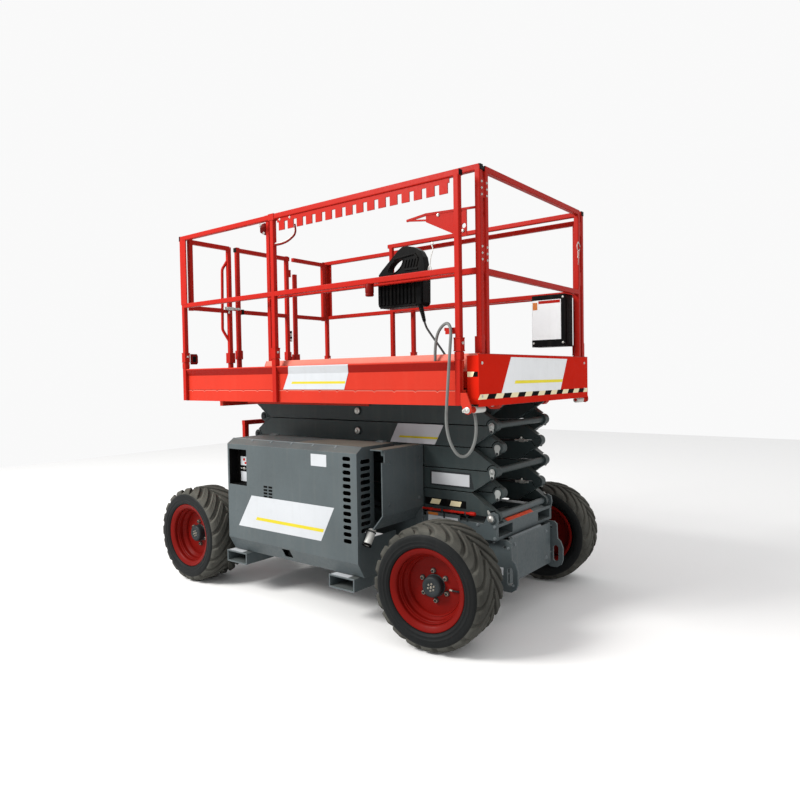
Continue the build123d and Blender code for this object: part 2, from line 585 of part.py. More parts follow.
with BuildPart() as ext_rail:
    xf = EXT_X1 - 1.5 - TUBE / 2
    for s in (-1, 1):
        yc = s * (EXT_Y - TUBE / 2)
        tube((EXT_X0, yc, EXT_TOP_Z - TUBE / 2), (xf + 10, yc, EXT_TOP_Z - TUBE / 2))
        tube((EXT_X0 + 20, yc, MID_Z - TUBE / 2), (xf, yc, MID_Z - TUBE / 2))
        for x in (EXT_X0 + 26, xf):
            tube((x, yc, 1383), (x, yc, EXT_TOP_Z - 10))
        slab(xf - 24, xf + 17, yc - 17, yc + 17, 1553, 1640)
        # posts of the front panel
        tube((xf, s * 595, 1383), (xf, s * 595, EXT_TOP_Z - 10), side=(1, 0, 0))
    tube((xf, -605, EXT_TOP_Z - TUBE / 2), (xf, 605, EXT_TOP_Z - TUBE / 2), side=(1, 0, 0))
    tube((xf, -605, MID_Z - TUBE / 2), (xf, 605, MID_Z - TUBE / 2), side=(1, 0, 0))
    for s in (-1, 1):
        for z in (2020, 2350):
            slab(xf + 8, xf + 12, s * 606, s * 640, z, z + 90)
finish(ext_rail, "extension_rails")

with BuildPart() as handle:
    # latch plate and wire handle of the extension
    prism_y([(959, 2318), (1217, 2306), (1217, 2160), (1170, 2165), (959, 2270)], -663, -657)
    prism_y([(828, 2291), (960, 2305), (1268.4, 2294), (1268.4, 2305), (959, 2318), (828, 2303)], -665, -655)
    prism_y([(832, 2293), (836, 2302), (975, 2283), (973, 2274)], -664, -656)
    with Locations(Plane(origin=(1200, -660, 2216), z_dir=(0, 1, 0))):
        Cylinder(13, 30, mode=Mode.SUBTRACT)
finish(handle, "extension_handle")

with BuildPart() as control_box:
    prism_y([(570, 1990), (880, 1990), (886, 1960), (884, 1850), (872, 1832), (596, 1830), (570, 1852)], -620, -520)
    prism_y([(590, 1989), (872, 1989), (886, 2060), (872, 2112), (830, 2156), (770, 2172), (728, 2166), (604, 2030)], -620, -560)
    slab(640, 820, -634, -618, 1962, 1988)
finish(control_box, "control_box")

with BuildPart() as document_box:
    slab(1003, 1240, 500, 618, 1620, 1965)
    slab(1009, 1234, 506, 612, 1630, 1966, mode=Mode.SUBTRACT)
    for x in (1030, 1180):
        slab(x, x + 30, 612, 634, 1944, 1964)
finish(document_box, "document_box")

# ---------------------------------------------------------------------- cable
CABLE_D = 16
# the route: up inside the toe board, over the hanger, down outside, back under the deck
CABLE_ROUTE = [
    (1037, -704, 1400), (1036, -704, 1480), (1040, -709, 1590), (1064, -721, 1662),
    (1112, -741, 1702), (1160, -760, 1712), (1186, -772, 1672), (1183, -780, 1590),
    (1174, -783, 1460), (1162, -784, 1310), (1153, -783, 1200), (1164, -778, 1120),
    (1186, -765, 1056), (1212, -741, 1018), (1240, -712, 1026), (1258, -684, 1074),
    (1264, -668, 1140), (1252, -653, 1212), (1230, -643, 1262), (1213, -640, 1291), (1211, -640, 1318),
]
CONTROL_D = 12
# from the control box down to the extension's floor
CONTROL_ROUTE = [
    (896, -602, 1742), (905, -602, 1713), (930, -603, 1680), (967, -605, 1636),
    (1012, -607, 1583), (1052, -607, 1528), (1085, -606, 1470), (1104, -605, 1432),
    (1112, -604, 1400),
]


def corner_radii(points):
    """Arc radii that use 0.45 of the shorter run beside each corner."""
    radii = []
    for a, b, c in zip(points, points[1:], points[2:]):
        u = Vector(*b) - Vector(*a)
        v = Vector(*c) - Vector(*b)
        turn = u.get_angle(v)
        radii.append(0.45 * min(u.length, v.length) / tan(radians(turn) / 2))
        print("corner", b, "turn %.1f radius %.1f" % (turn, radii[-1]))
    return radii


with BuildPart() as cable:
    with BuildLine() as route:
        FilletPolyline(*CABLE_ROUTE, radius=corner_radii(CABLE_ROUTE))
    length = sum(e.length for e in route.edges())
    start = Vector(*CABLE_ROUTE[1]) - Vector(*CABLE_ROUTE[0])
    with BuildSketch(Plane(origin=CABLE_ROUTE[0], z_dir=start)):
        Circle(CABLE_D / 2)
    sweep()
    print("deck cable length", length, "volume ratio", cable.part.volume / (length * 3.14159265 * CABLE_D ** 2 / 4))
finish(cable, "deck_cable")

with BuildPart() as control_cable:
    with BuildLine() as route:
        FilletPolyline(*CONTROL_ROUTE, radius=corner_radii(CONTROL_ROUTE))
    length = sum(e.length for e in route.edges())
    start = Vector(*CONTROL_ROUTE[1]) - Vector(*CONTROL_ROUTE[0])
    with BuildSketch(Plane(origin=CONTROL_ROUTE[0], z_dir=start)):
        Circle(CONTROL_D / 2)
    sweep()
    print("control cable length", length, "volume ratio", control_cable.part.volume / (length * 3.14159265 * CONTROL_D ** 2 / 4))
finish(control_cable, "control_cable")

with BuildPart() as cable_glands:
    # gland on the deck's floor and gland under it
    rod((1037, -704, FLOOR_Z), (1037, -704, 1400), 11)
    rod((1211, -640, 1319), (1211, -640, 1335), 14)
finish(cable_glands, "cable_glands")

with BuildPart() as control_glands:
    # strain relief of the control box and gland on the extension's floor
    rod((872, -602, 1829), (896, -602, 1742), 9)
    rod((1112, -604, 1383), (1112, -604, 1398), 12)
finish(control_glands, "control_glands")
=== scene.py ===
import bpy, bmesh, json, math
from mathutils import Vector, Matrix


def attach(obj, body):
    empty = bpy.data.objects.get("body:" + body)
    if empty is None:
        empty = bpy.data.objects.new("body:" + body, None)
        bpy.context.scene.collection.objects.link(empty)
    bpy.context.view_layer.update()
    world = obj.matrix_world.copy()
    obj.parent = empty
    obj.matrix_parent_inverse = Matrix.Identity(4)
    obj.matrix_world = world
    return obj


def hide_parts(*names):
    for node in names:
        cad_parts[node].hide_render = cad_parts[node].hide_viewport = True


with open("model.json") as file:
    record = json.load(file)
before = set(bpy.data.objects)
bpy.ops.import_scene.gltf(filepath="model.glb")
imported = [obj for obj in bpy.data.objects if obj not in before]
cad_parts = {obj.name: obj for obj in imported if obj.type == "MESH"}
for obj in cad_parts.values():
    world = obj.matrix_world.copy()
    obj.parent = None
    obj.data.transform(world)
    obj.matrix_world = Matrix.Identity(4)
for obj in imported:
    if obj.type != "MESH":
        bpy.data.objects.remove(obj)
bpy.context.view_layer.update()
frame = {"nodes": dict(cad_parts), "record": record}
nodes = frame["nodes"]
scene = bpy.context.scene

# ------------------------------------------------------------------ camera
AZ, PITCH, ROLL = math.radians(38.034), math.radians(1.691), math.radians(-0.888)
fwd = Vector((-math.sin(AZ) * math.cos(PITCH), math.cos(AZ) * math.cos(PITCH), -math.sin(PITCH)))
right = Vector((math.cos(AZ), math.sin(AZ), 0))
up = right.cross(fwd)
r2 = math.cos(ROLL) * right + math.sin(ROLL) * up
u2 = -math.sin(ROLL) * right + math.cos(ROLL) * up
cam_data = bpy.data.cameras.new("camera")
cam_data.sensor_width = 36.0
cam_data.lens = 653.09 * 36.0 / 800.0
cam_data.shift_x = -0.0004
cam_data.shift_y = -0.0066
cam = bpy.data.objects.new("camera", cam_data)
scene.collection.objects.link(cam)
m = Matrix.Identity(4)
for i, axis in enumerate((r2, u2, -fwd)):
    m[0][i], m[1][i], m[2][i] = axis
m[0][3], m[1][3], m[2][3] = 3.032, -3.561, 1.4437
cam.matrix_world = m
scene.camera = cam

# ------------------------------------------------------------------ light
scene.view_settings.view_transform = "Standard"
world = bpy.data.worlds.new("studio")
world.use_nodes = True
world.node_tree.nodes["Background"].inputs["Color"].default_value = (1.0, 1.0, 1.0, 1.0)
world.node_tree.nodes["Background"].inputs["Strength"].default_value = 0.95
scene.world = world


def area(name, at, aim, size, watts, colour=(1, 1, 1)):
    data = bpy.data.lights.new(name, "AREA")
    data.shape = "RECTANGLE"
    data.size, data.size_y = size
    data.energy = watts
    data.color = colour
    obj = bpy.data.objects.new(name, data)
    scene.collection.objects.link(obj)
    obj.location = at
    obj.rotation_euler = (Vector(aim) - Vector(at)).to_track_quat("-Z", "Y").to_euler()
    return obj


area("key", (-3.4, -6.4, 6.2), (0.0, 0.0, 1.1), (3.0, 3.0), 980, (1.0, 0.985, 0.96))


# --------------------------------------------------------------- materials
def surface(name, base, rough=0.45, metal=0.0, spec=0.3, tone=0.12, grime=0.15, streak=0.0,
            dust=(0.20, 0.18, 0.145), dust_amt=0.0, bump=0.06, grain=60.0, edge=0.25,
            edge_col=None, bevel=0.0025, coat=0.0):
    """Painted or moulded finish: uneven tone, grime, streaks, dust on top, worn edges."""
    mat = bpy.data.materials.new(name)
    mat.use_nodes = True
    nt = mat.node_tree
    N, L = nt.nodes, nt.links
    bsdf = N["Principled BSDF"]
    bsdf.inputs["Metallic"].default_value = metal
    bsdf.inputs["Specular IOR Level"].default_value = spec
    bsdf.inputs["Coat Weight"].default_value = coat
    bsdf.inputs["Coat Roughness"].default_value = 0.12
    tc = N.new("ShaderNodeTexCoord")

    def noise(scale, detail=4.0, rough_=0.55, stretch=None):
        n = N.new("ShaderNodeTexNoise")
        n.inputs["Scale"].default_value = scale
        n.inputs["Detail"].default_value = detail
        n.inputs["Roughness"].default_value = rough_
        if stretch:
            mp = N.new("ShaderNodeMapping")
            mp.inputs["Scale"].default_value = stretch
            L.new(tc.outputs["Object"], mp.inputs["Vector"])
            L.new(mp.outputs["Vector"], n.inputs["Vector"])
        else:
            L.new(tc.outputs["Object"], n.inputs["Vector"])
        return n

    def remap(socket, a, b, c, d):
        r = N.new("ShaderNodeMapRange")
        r.inputs["From Min"].default_value = a
        r.inputs["From Max"].default_value = b
        r.inputs["To Min"].default_value = c
        r.inputs["To Max"].default_value = d
        L.new(socket, r.inputs["Value"])
        return r.outputs["Result"]

    def mix(fac, a, b):
        x = N.new("ShaderNodeMix")
        x.data_type = "RGBA"
        if isinstance(fac, float):
            x.inputs["Factor"].default_value = fac
        else:
            L.new(fac, x.inputs["Factor"])
        for key, val in (("A", a), ("B", b)):
            sock = [s for s in x.inputs if s.name == key and s.type == "RGBA"][0]
            if isinstance(val, tuple):
                sock.default_value = (val[0], val[1], val[2], 1.0)
            else:
                L.new(val, sock)
        return [s for s in x.outputs if s.type == "RGBA"][0]

    def math_(op, a, b):
        n = N.new("ShaderNodeMath")
        n.operation = op
        n.use_clamp = True
        for i, v in enumerate((a, b)):
            if isinstance(v, float):
                n.inputs[i].default_value = v
            else:
                L.new(v, n.inputs[i])
        return n.outputs[0]

    big = noise(2.6, 5.0)
    fine = noise(grain, 3.0)
    lo = tuple(c * (1 - tone) for c in base)
    hi = tuple(min(1.0, c * (1 + tone)) for c in base)
    col = mix(remap(big.outputs["Fac"], 0.3, 0.7, 0.0, 1.0), lo, hi)
    if grime:
        g = noise(9.0, 6.0, 0.65)
        col = mix(remap(g.outputs["Fac"], 0.52, 0.78, 0.0, grime), col, tuple(c * 0.35 for c in base))
    if streak:
        st = noise(1.0, 5.0, 0.6, (26.0, 26.0, 1.7))
        col = mix(remap(st.outputs["Fac"], 0.5, 0.74, 0.0, streak), col, dust)
    if dust_amt:
        geo_up = N.new("ShaderNodeSeparateXYZ")
        L.new(tc.outputs["Normal"], geo_up.inputs[0])
        up_ = remap(geo_up.outputs["Z"], 0.25, 0.95, 0.0, 1.0)
        patch = remap(big.outputs["Fac"], 0.35, 0.62, 0.25, 1.0)
        speck = remap(fine.outputs["Fac"], 0.35, 0.65, 0.6, 1.0)
        col = mix(math_("MULTIPLY", math_("MULTIPLY", up_, patch), math_("MULTIPLY", speck, float(dust_amt))), col, dust)
    bev = None
    if bevel:
        bev = N.new("ShaderNodeBevel")
        bev.samples = 4
        bev.inputs["Radius"].default_value = bevel
        if edge:
            geo = N.new("ShaderNodeNewGeometry")
            dot = N.new("ShaderNodeVectorMath")
            dot.operation = "DOT_PRODUCT"
            L.new(bev.outputs["Normal"], dot.inputs[0])
            L.new(geo.outputs["Normal"], dot.inputs[1])
            worn = remap(dot.outputs["Value"], 0.985, 0.86, 0.0, 1.0)
            wear = noise(14.0, 4.0, 0.7)
            worn = math_("MULTIPLY", worn, remap(wear.outputs["Fac"], 0.42, 0.6, 0.25, 1.0))
            worn = math_("MULTIPLY", worn, float(edge))
            light = edge_col or tuple(min(1.0, c * 2.0 + 0.05) for c in base)
            col = mix(worn, col, light)
    L.new(col, bsdf.inputs["Base Color"])
    L.new(remap(fine.outputs["Fac"], 0.3, 0.7, max(0.02, rough - 0.08), min(1.0, rough + 0.10)), bsdf.inputs["Roughness"])
    if bump:
        b = N.new("ShaderNodeBump")
        b.inputs["Strength"].default_value = bump
        b.inputs["Distance"].default_value = 0.002
        L.new(fine.outputs["Fac"], b.inputs["Height"])
        if bev:
            L.new(bev.outputs["Normal"], b.inputs["Normal"])
        L.new(b.outputs["Normal"], bsdf.inputs["Normal"])
    elif bev:
        L.new(bev.outputs["Normal"], bsdf.inputs["Normal"])
    return mat


RED = surface("vermilion_paint", (0.335, 0.0115, 0.0068), rough=0.36, spec=0.05, tone=0.06, grime=0.10,
              streak=0.03, dust=(0.30, 0.10, 0.06), bump=0.03, edge=0.25, edge_col=(0.70, 0.13, 0.08))
RIMRED = surface("rim_enamel", (0.135, 0.0042, 0.0026), rough=0.42, spec=0.06, tone=0.12, grime=0.25,
                 bump=0.03, edge=0.3, edge_col=(0.36, 0.05, 0.04))
GREY = surface("slate_paint", (0.058, 0.073, 0.078), rough=0.45, spec=0.25, tone=0.10, grime=0.15,
               streak=0.08, dust_amt=0.25, bump=0.05, edge=0.55, edge_col=(0.26, 0.29, 0.30))
ARM = surface("arm_paint", (0.028, 0.039, 0.040), rough=0.42, spec=0.18, tone=0.12, grime=0.2,
              streak=0.05, dust_amt=0.2, bump=0.05, edge=0.5, edge_col=(0.11, 0.125, 0.13))
CAST = surface("dark_casting", (0.030, 0.033, 0.035), rough=0.6, spec=0.2, tone=0.2, grime=0.3,
               dust_amt=0.4, bump=0.25, grain=140.0, edge=0.3, edge_col=(0.10, 0.10, 0.10))
CHROME = surface("hard_chrome", (0.62, 0.63, 0.65), rough=0.12, metal=1.0, tone=0.03, grime=0.05,
                 bump=0.01, edge=0.0, bevel=0.001)
PLASTIC = surface("black_moulding", (0.0022, 0.0022, 0.0024), rough=0.38, spec=0.05, tone=0.15, grime=0.0,
                  streak=0.04, dust_amt=0.12, bump=0.12, grain=260.0, edge=0.25, edge_col=(0.06, 0.06, 0.06), bevel=0.0015)
GALV = surface("galvanised", (0.40, 0.41, 0.41), rough=0.42, metal=0.75, spec=0.4, tone=0.2, grime=0.3,
               bump=0.06, grain=90.0, edge=0.2, edge_col=(0.7, 0.7, 0.7), bevel=0.0015)
ZINC = surface("zinc_hardware", (0.50, 0.50, 0.47), rough=0.36, metal=0.6, spec=0.4, tone=0.15, grime=0.4,
               bump=0.04, grain=120.0, edge=0.3, edge_col=(0.85, 0.85, 0.82), bevel=0.001)
NYLON = surface("white_nylon", (0.50, 0.50, 0.47), rough=0.5, tone=0.06, grime=0.25, bump=0.04, edge=0.0, bevel=0.002)
# The plate films come in two copies: a dimmer one for plates in the key light and a brighter one, below, for the plate
# on the shaded front board and for the document sheet; the difference is painted light.
WHITE = surface("white_film", (0.43, 0.448, 0.468), rough=0.45, spec=0.12, tone=0.04, grime=0.10, streak=0.06, bump=0.01, edge=0.0, bevel=0.0)
YELLOW = surface("yellow_film", (0.49, 0.41, 0.022), rough=0.45, spec=0.10, tone=0.05, grime=0.12, bump=0.01, edge=0.0, bevel=0.0)
WHITE_SHADE_LIFT = surface("white_sheet_shade_lift", (0.70, 0.715, 0.73), rough=0.45, spec=0.12, tone=0.04, grime=0.08, streak=0.05, bump=0.01, edge=0.0, bevel=0.0)
YELLOW_SHADE_LIFT = surface("yellow_bar_shade_lift", (0.72, 0.61, 0.03), rough=0.45, spec=0.10, tone=0.05, grime=0.10, bump=0.01, edge=0.0, bevel=0.0)
CREAM = surface("cream_film", (0.72, 0.64, 0.41), rough=0.5, spec=0.08, tone=0.06, grime=0.15, bump=0.01, edge=0.0, bevel=0.0)
BLACK = surface("black_film", (0.0028, 0.0028, 0.0030), rough=0.7, spec=0.03, tone=0.1, grime=0.0, streak=0.05, bump=0.01, edge=0.0, bevel=0.0)
ORANGE = surface("orange_lens", (0.58, 0.060, 0.018), rough=0.35, tone=0.12, grime=0.2, bump=0.5, grain=70.0, edge=0.0, bevel=0.001)
JACKET = surface("grey_jacket", (0.130, 0.135, 0.130), rough=0.55, tone=0.12, grime=0.35, bump=0.05, edge=0.0, bevel=0.0)
JACKET_B = surface("black_jacket", (0.014, 0.014, 0.014), rough=0.5, tone=0.12, grime=0.0, streak=0.05, bump=0.05, edge=0.0, bevel=0.0)
SIDEWALL = surface("sidewall_rubber", (0.0075, 0.0085, 0.0088), rough=0.55, spec=0.10, tone=0.25, grime=0.2,
                   streak=0.06, dust=(0.055, 0.052, 0.046), bump=0.12, grain=120.0, edge=0.3, edge_col=(0.040, 0.040, 0.038), bevel=0.004)
TREAD = surface("dusty_tread", (0.054, 0.0535, 0.0475), rough=0.85, spec=0.05, tone=0.45, grime=0.5,
                dust=(0.150, 0.144, 0.122), dust_amt=0.46, bump=0.4, grain=95.0, edge=0.6, edge_col=(0.165, 0.160, 0.140), bevel=0.006)
DECKRED = surface("board_enamel", (0.425, 0.0270, 0.0140), rough=0.36, spec=0.06, tone=0.05, grime=0.10,
                  streak=0.04, dust=(0.42, 0.13, 0.08), bump=0.03, edge=0.25, edge_col=(0.74, 0.18, 0.12))
# The extension's red: a brighter, more matte copy of the platform red, lifted because its front board faces away from
# the key light; the lift is painted light.
BOARD_SHADE_LIFT = surface("front_board_enamel_shade_lift", (0.480, 0.0120, 0.0040), rough=0.6, spec=0.015, tone=0.05, grime=0.06, bump=0.03, edge=0.25, edge_col=(0.62, 0.10, 0.06))
# The platform red darkened to paint the shade under the toe boards' flared tops.
SHADED = surface("underside_painted_shade", (0.215, 0.0075, 0.0045), rough=0.45, spec=0.04, tone=0.06, grime=0.15, bump=0.03, edge=0.0, bevel=0.0)
# A paler, pinker red for board faces that take the key light: painted highlight, partly sun-faded paint.
FADED_AND_LIT = surface("faded_and_lit_enamel", (0.640, 0.1650, 0.1250), rough=0.6, spec=0.06, tone=0.10, grime=0.10,
                dust=(0.60, 0.30, 0.22), dust_amt=0.3, bump=0.03, edge=0.0, bevel=0.0)
KEEPER = surface("keeper_plate", (0.315, 0.330, 0.320), rough=0.45, metal=0.2, tone=0.2, grime=0.35, bump=0.1, edge=0.3, edge_col=(0.5, 0.5, 0.48), bevel=0.001)
HEATPAINT = surface("heat_paint", (0.46, 0.46, 0.44), rough=0.5, metal=0.15, tone=0.15, grime=0.4, bump=0.1, edge=0.3, edge_col=(0.6, 0.6, 0.58), bevel=0.001)
NUT = surface("worn_nut", (0.22, 0.20, 0.165), rough=0.45, metal=0.3, spec=0.3, tone=0.25, grime=0.5, bump=0.1, grain=150.0, edge=0.3, edge_col=(0.5, 0.48, 0.42), bevel=0.001)
HUB = surface("hub_paint", (0.017, 0.021, 0.023), rough=0.5, spec=0.15, tone=0.15, grime=0.3, bump=0.06, edge=0.4, edge_col=(0.16, 0.17, 0.17), bevel=0.002)
# Paler grey for scuffed bolts, grips and pocket rims; on the covers' top bend it is also a painted highlight of the lit
# edge.
GREYEDGE = surface("scuffed_grey_and_highlight", (0.125, 0.142, 0.150), rough=0.5, spec=0.2, tone=0.15, grime=0.2, bump=0.05, edge=0.4, edge_col=(0.40, 0.42, 0.43), bevel=0.001)
ARMEDGE = surface("arm_weld", (0.040, 0.048, 0.050), rough=0.5, spec=0.2, tone=0.2, grime=0.2, bump=0.2, edge=0.0, bevel=0.0)
ORANGEFILM = surface("orange_film", (0.50, 0.14, 0.02), rough=0.4, tone=0.06, grime=0.15, bump=0.01, edge=0.0, bevel=0.0)
DUSTY = surface("dusty_plate", (0.115, 0.105, 0.088), rough=0.75, spec=0.15, tone=0.15, grime=0.2, bump=0.1, edge=0.3, edge_col=(0.30, 0.29, 0.26))
STEEL_TREAD = surface("grip_plate", (0.045, 0.048, 0.050), rough=0.55, metal=0.2, spec=0.3, tone=0.2, grime=0.3,
                      dust_amt=0.35, bump=0.5, grain=45.0, edge=0.4, edge_col=(0.16, 0.16, 0.16), bevel=0.001)

MAT = {"rubber_tyre": TREAD, "rim_red": RIMRED, "chassis_grey": GREY, "arm_grey": ARM, "platform_red": RED,
       "cast_dark": CAST, "rod_chrome": CHROME, "black_plastic": PLASTIC, "cable_rubber": JACKET,
       "cord_black": JACKET_B, "galvanised": GALV}
SLOT = {s["node"]: s["material_slot"] for s in frame["record"]["subparts"]}
for node_name, obj in nodes.items():
    want = MAT[SLOT[node_name]]
    if not obj.material_slots:
        obj.data.materials.append(want)
    for ms in obj.material_slots:
        ms.material = want
for n, paint in (("deck", DECKRED), ("extension_deck", BOARD_SHADE_LIFT)):
    for ms in nodes[n].material_slots:
        ms.material = paint
for n in ("mudguard_right", "mudguard_left"):
    for ms in nodes[n].material_slots:
        ms.material = GREY


# ------------------------------------------------------------ mesh helpers
def make(name, bm, mats, body, slot, bevel=0.0, segs=2, smooth=False, replaces=()):
    """Turns a bmesh into a piece that rides a body."""
    bmesh.ops.recalc_face_normals(bm, faces=bm.faces)
    mesh = bpy.data.meshes.new(name)
    bm.to_mesh(mesh)
    bm.free()
    for mt in (mats if isinstance(mats, (list, tuple)) else [mats]):
        mesh.materials.append(mt)
    if smooth:
        for p in mesh.polygons:
            p.use_smooth = True
    obj = bpy.data.objects.new(name, mesh)
    scene.collection.objects.link(obj)
    if bevel:
        mod = obj.modifiers.new("edges", "BEVEL")
        mod.width = bevel
        mod.segments = segs
        mod.limit_method = "ANGLE"
        mod.angle_limit = math.radians(30)
        mod.use_clamp_overlap = True
    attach(obj, body)
    if replaces:
        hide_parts(*replaces)
    return obj


def block(bm, lo, hi, mi=0):
    """A box between two corners, added to bm."""
    lo, hi = [min(a, b) for a, b in zip(lo, hi)], [max(a, b) for a, b in zip(lo, hi)]
    vs = [bm.verts.new((x, y, z)) for x in (lo[0], hi[0]) for y in (lo[1], hi[1]) for z in (lo[2], hi[2])]
    for f in ((0, 1, 3, 2), (4, 6, 7, 5), (0, 4, 5, 1), (2, 3, 7, 6), (0, 2, 6, 4), (1, 5, 7, 3)):
        bm.faces.new([vs[i] for i in f]).material_index = mi


def slab(bm, pts, push, mi=0):
    """A flat polygon pushed out by a vector."""
    push = Vector(push)
    a = [bm.verts.new(Vector(p)) for p in pts]
    b = [bm.verts.new(Vector(p) + push) for p in pts]
    n = len(a)
    bm.faces.new(a).material_index = mi
    bm.faces.new(b[::-1]).material_index = mi
    for i in range(n):
        bm.faces.new([a[i], b[i], b[(i + 1) % n], a[(i + 1) % n]]).material_index = mi


def basis(axis):
    axis = Vector(axis).normalized()
    side = axis.cross(Vector((0, 0, 1)))
    if side.length < 1e-3:
        side = axis.cross(Vector((1, 0, 0)))
    side.normalize()
    return axis, side, axis.cross(side)


def lathe(bm, at, axis, profile, n=24, mi=0, smooth=True, turn=0.0):
    """Profile of (radius, distance along the axis), turned about the axis through at."""
    at = Vector(at)
    axis, e1, e2 = basis(axis)
    rings = []
    for r, t in profile:
        if r <= 1e-6:
            rings.append([bm.verts.new(at + axis * t)])
        else:
            rings.append([bm.verts.new(at + axis * t + (e1 * math.cos(turn + 2 * math.pi * i / n) + e2 * math.sin(turn + 2 * math.pi * i / n)) * r)
                          for i in range(n)])
    for a, b in zip(rings, rings[1:]):
        for i in range(n):
            j = (i + 1) % n
            if len(a) == 1 and len(b) == 1:
                continue
            if len(a) == 1:
                f = bm.faces.new([a[0], b[i], b[j]])
            elif len(b) == 1:
                f = bm.faces.new([a[i], b[0], a[j]])
            else:
                f = bm.faces.new([a[i], b[i], b[j], a[j]])
            f.material_index = mi
            f.smooth = smooth
    return rings


def bolt(bm, at, axis, r=0.009, h=0.006, mi=0):
    """A hexagon head on a washer."""
    lathe(bm, at, axis, [(0, -0.001), (r * 1.5, -0.001), (r * 1.5, 0.0015), (r * 1.0, 0.0015)], 20, mi)
    lathe(bm, at, axis, [(r, 0.001), (r, h), (r * 0.8, h + 0.001), (0, h + 0.001)], 6, mi, False)


def pipe(bm, pts, r, n=10, mi=0, caps=True, steps=6):
    """A hose or wire along a smooth curve through its points."""
    P = [Vector(p) for p in pts]
    if len(P) > 2:
        Q = []
        for i in range(len(P) - 1):
            p0, p1, p2, p3 = P[max(i - 1, 0)], P[i], P[i + 1], P[min(i + 2, len(P) - 1)]
            for k in range(steps):
                t = k / steps
                Q.append(0.5 * ((2 * p1) + (p2 - p0) * t + (2 * p0 - 5 * p1 + 4 * p2 - p3) * t * t + (3 * p1 - p0 - 3 * p2 + p3) * t ** 3))
        Q.append(P[-1])
    else:
        Q = P
    ref = None
    rings = []
    for i, q in enumerate(Q):
        d = (Q[min(i + 1, len(Q) - 1)] - Q[max(i - 1, 0)]).normalized()
        if ref is None:
            ref = d.orthogonal().normalized()
        ref = (ref - d * ref.dot(d)).normalized()
        o = d.cross(ref)
        rings.append([bm.verts.new(q + (ref * math.cos(2 * math.pi * k / n) + o * math.sin(2 * math.pi * k / n)) * r) for k in range(n)])
    for a, b in zip(rings, rings[1:]):
        for k in range(n):
            f = bm.faces.new([a[k], b[k], b[(k + 1) % n], a[(k + 1) % n]])
            f.smooth = True
            f.material_index = mi
    if caps:
        bm.faces.new(rings[0][::-1]).material_index = mi
        bm.faces.new(rings[-1]).material_index = mi
    return rings


# ------------------------------------------------------------------- cords
def cord(name, pts, dia, mat, body, node, glands):
    cu = bpy.data.curves.new(name, "CURVE")
    cu.dimensions = "3D"
    cu.bevel_depth = dia / 2
    cu.bevel_resolution = 5
    cu.use_fill_caps = True
    sp = cu.splines.new("NURBS")
    sp.points.add(len(pts) - 1)
    for p, c in zip(sp.points, pts):
        p.co = (c[0], c[1], c[2], 1.0)
    sp.order_u = 3
    sp.use_endpoint_u = True
    sp.resolution_u = 8
    obj = bpy.data.objects.new(name, cu)
    scene.collection.objects.link(obj)
    cu.materials.append(mat)
    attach(obj, body)
    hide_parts(node)
    return obj


DECK_ROUTE = [
    (1.037, -0.704, 1.400), (1.036, -0.704, 1.480), (1.040, -0.709, 1.590), (1.064, -0.721, 1.662),
    (1.112, -0.741, 1.702), (1.160, -0.760, 1.712), (1.186, -0.772, 1.672), (1.183, -0.780, 1.590),
    (1.174, -0.783, 1.460), (1.162, -0.784, 1.310), (1.153, -0.783, 1.200), (1.164, -0.778, 1.120),
    (1.186, -0.765, 1.056), (1.212, -0.741, 1.018), (1.240, -0.712, 1.026), (1.258, -0.684, 1.074),
    (1.264, -0.668, 1.140), (1.252, -0.653, 1.212), (1.230, -0.643, 1.262), (1.213, -0.640, 1.291),
    (1.211, -0.640, 1.318),
]
CONTROL_ROUTE = [
    (0.896, -0.602, 1.742), (0.905, -0.602, 1.713), (0.930, -0.603, 1.680), (0.967, -0.605, 1.636),
    (1.012, -0.607, 1.583), (1.052, -0.607, 1.528), (1.085, -0.606, 1.470), (1.104, -0.605, 1.432),
    (1.112, -0.604, 1.400),
]
cord("deck_cord", DECK_ROUTE, 0.016, JACKET, "platform", "deck_cable", ["cable_glands"])
cord("control_cord", CONTROL_ROUTE, 0.012, JACKET_B, "extension", "control_cable", ["control_glands"])

# ------------------------------------------------------------------- tyres
AXLE, TYRE_R, WHEEL_Y, KING = 1.020, 0.330, 0.725, 0.500
CORNERS = [("front_right", AXLE, -1), ("front_left", AXLE, 1), ("rear_right", -AXLE, -1), ("rear_left", -AXLE, 1)]


def steer(bm, corner, s):
    """The front wheels stand turned 7 degrees about their kingpins."""
    if corner.startswith("front"):
        k = Vector((AXLE, s * KING, 0))
        bm.transform(Matrix.Translation(k) @ Matrix.Rotation(math.radians(7.0), 4, "Z") @ Matrix.Translation(-k))


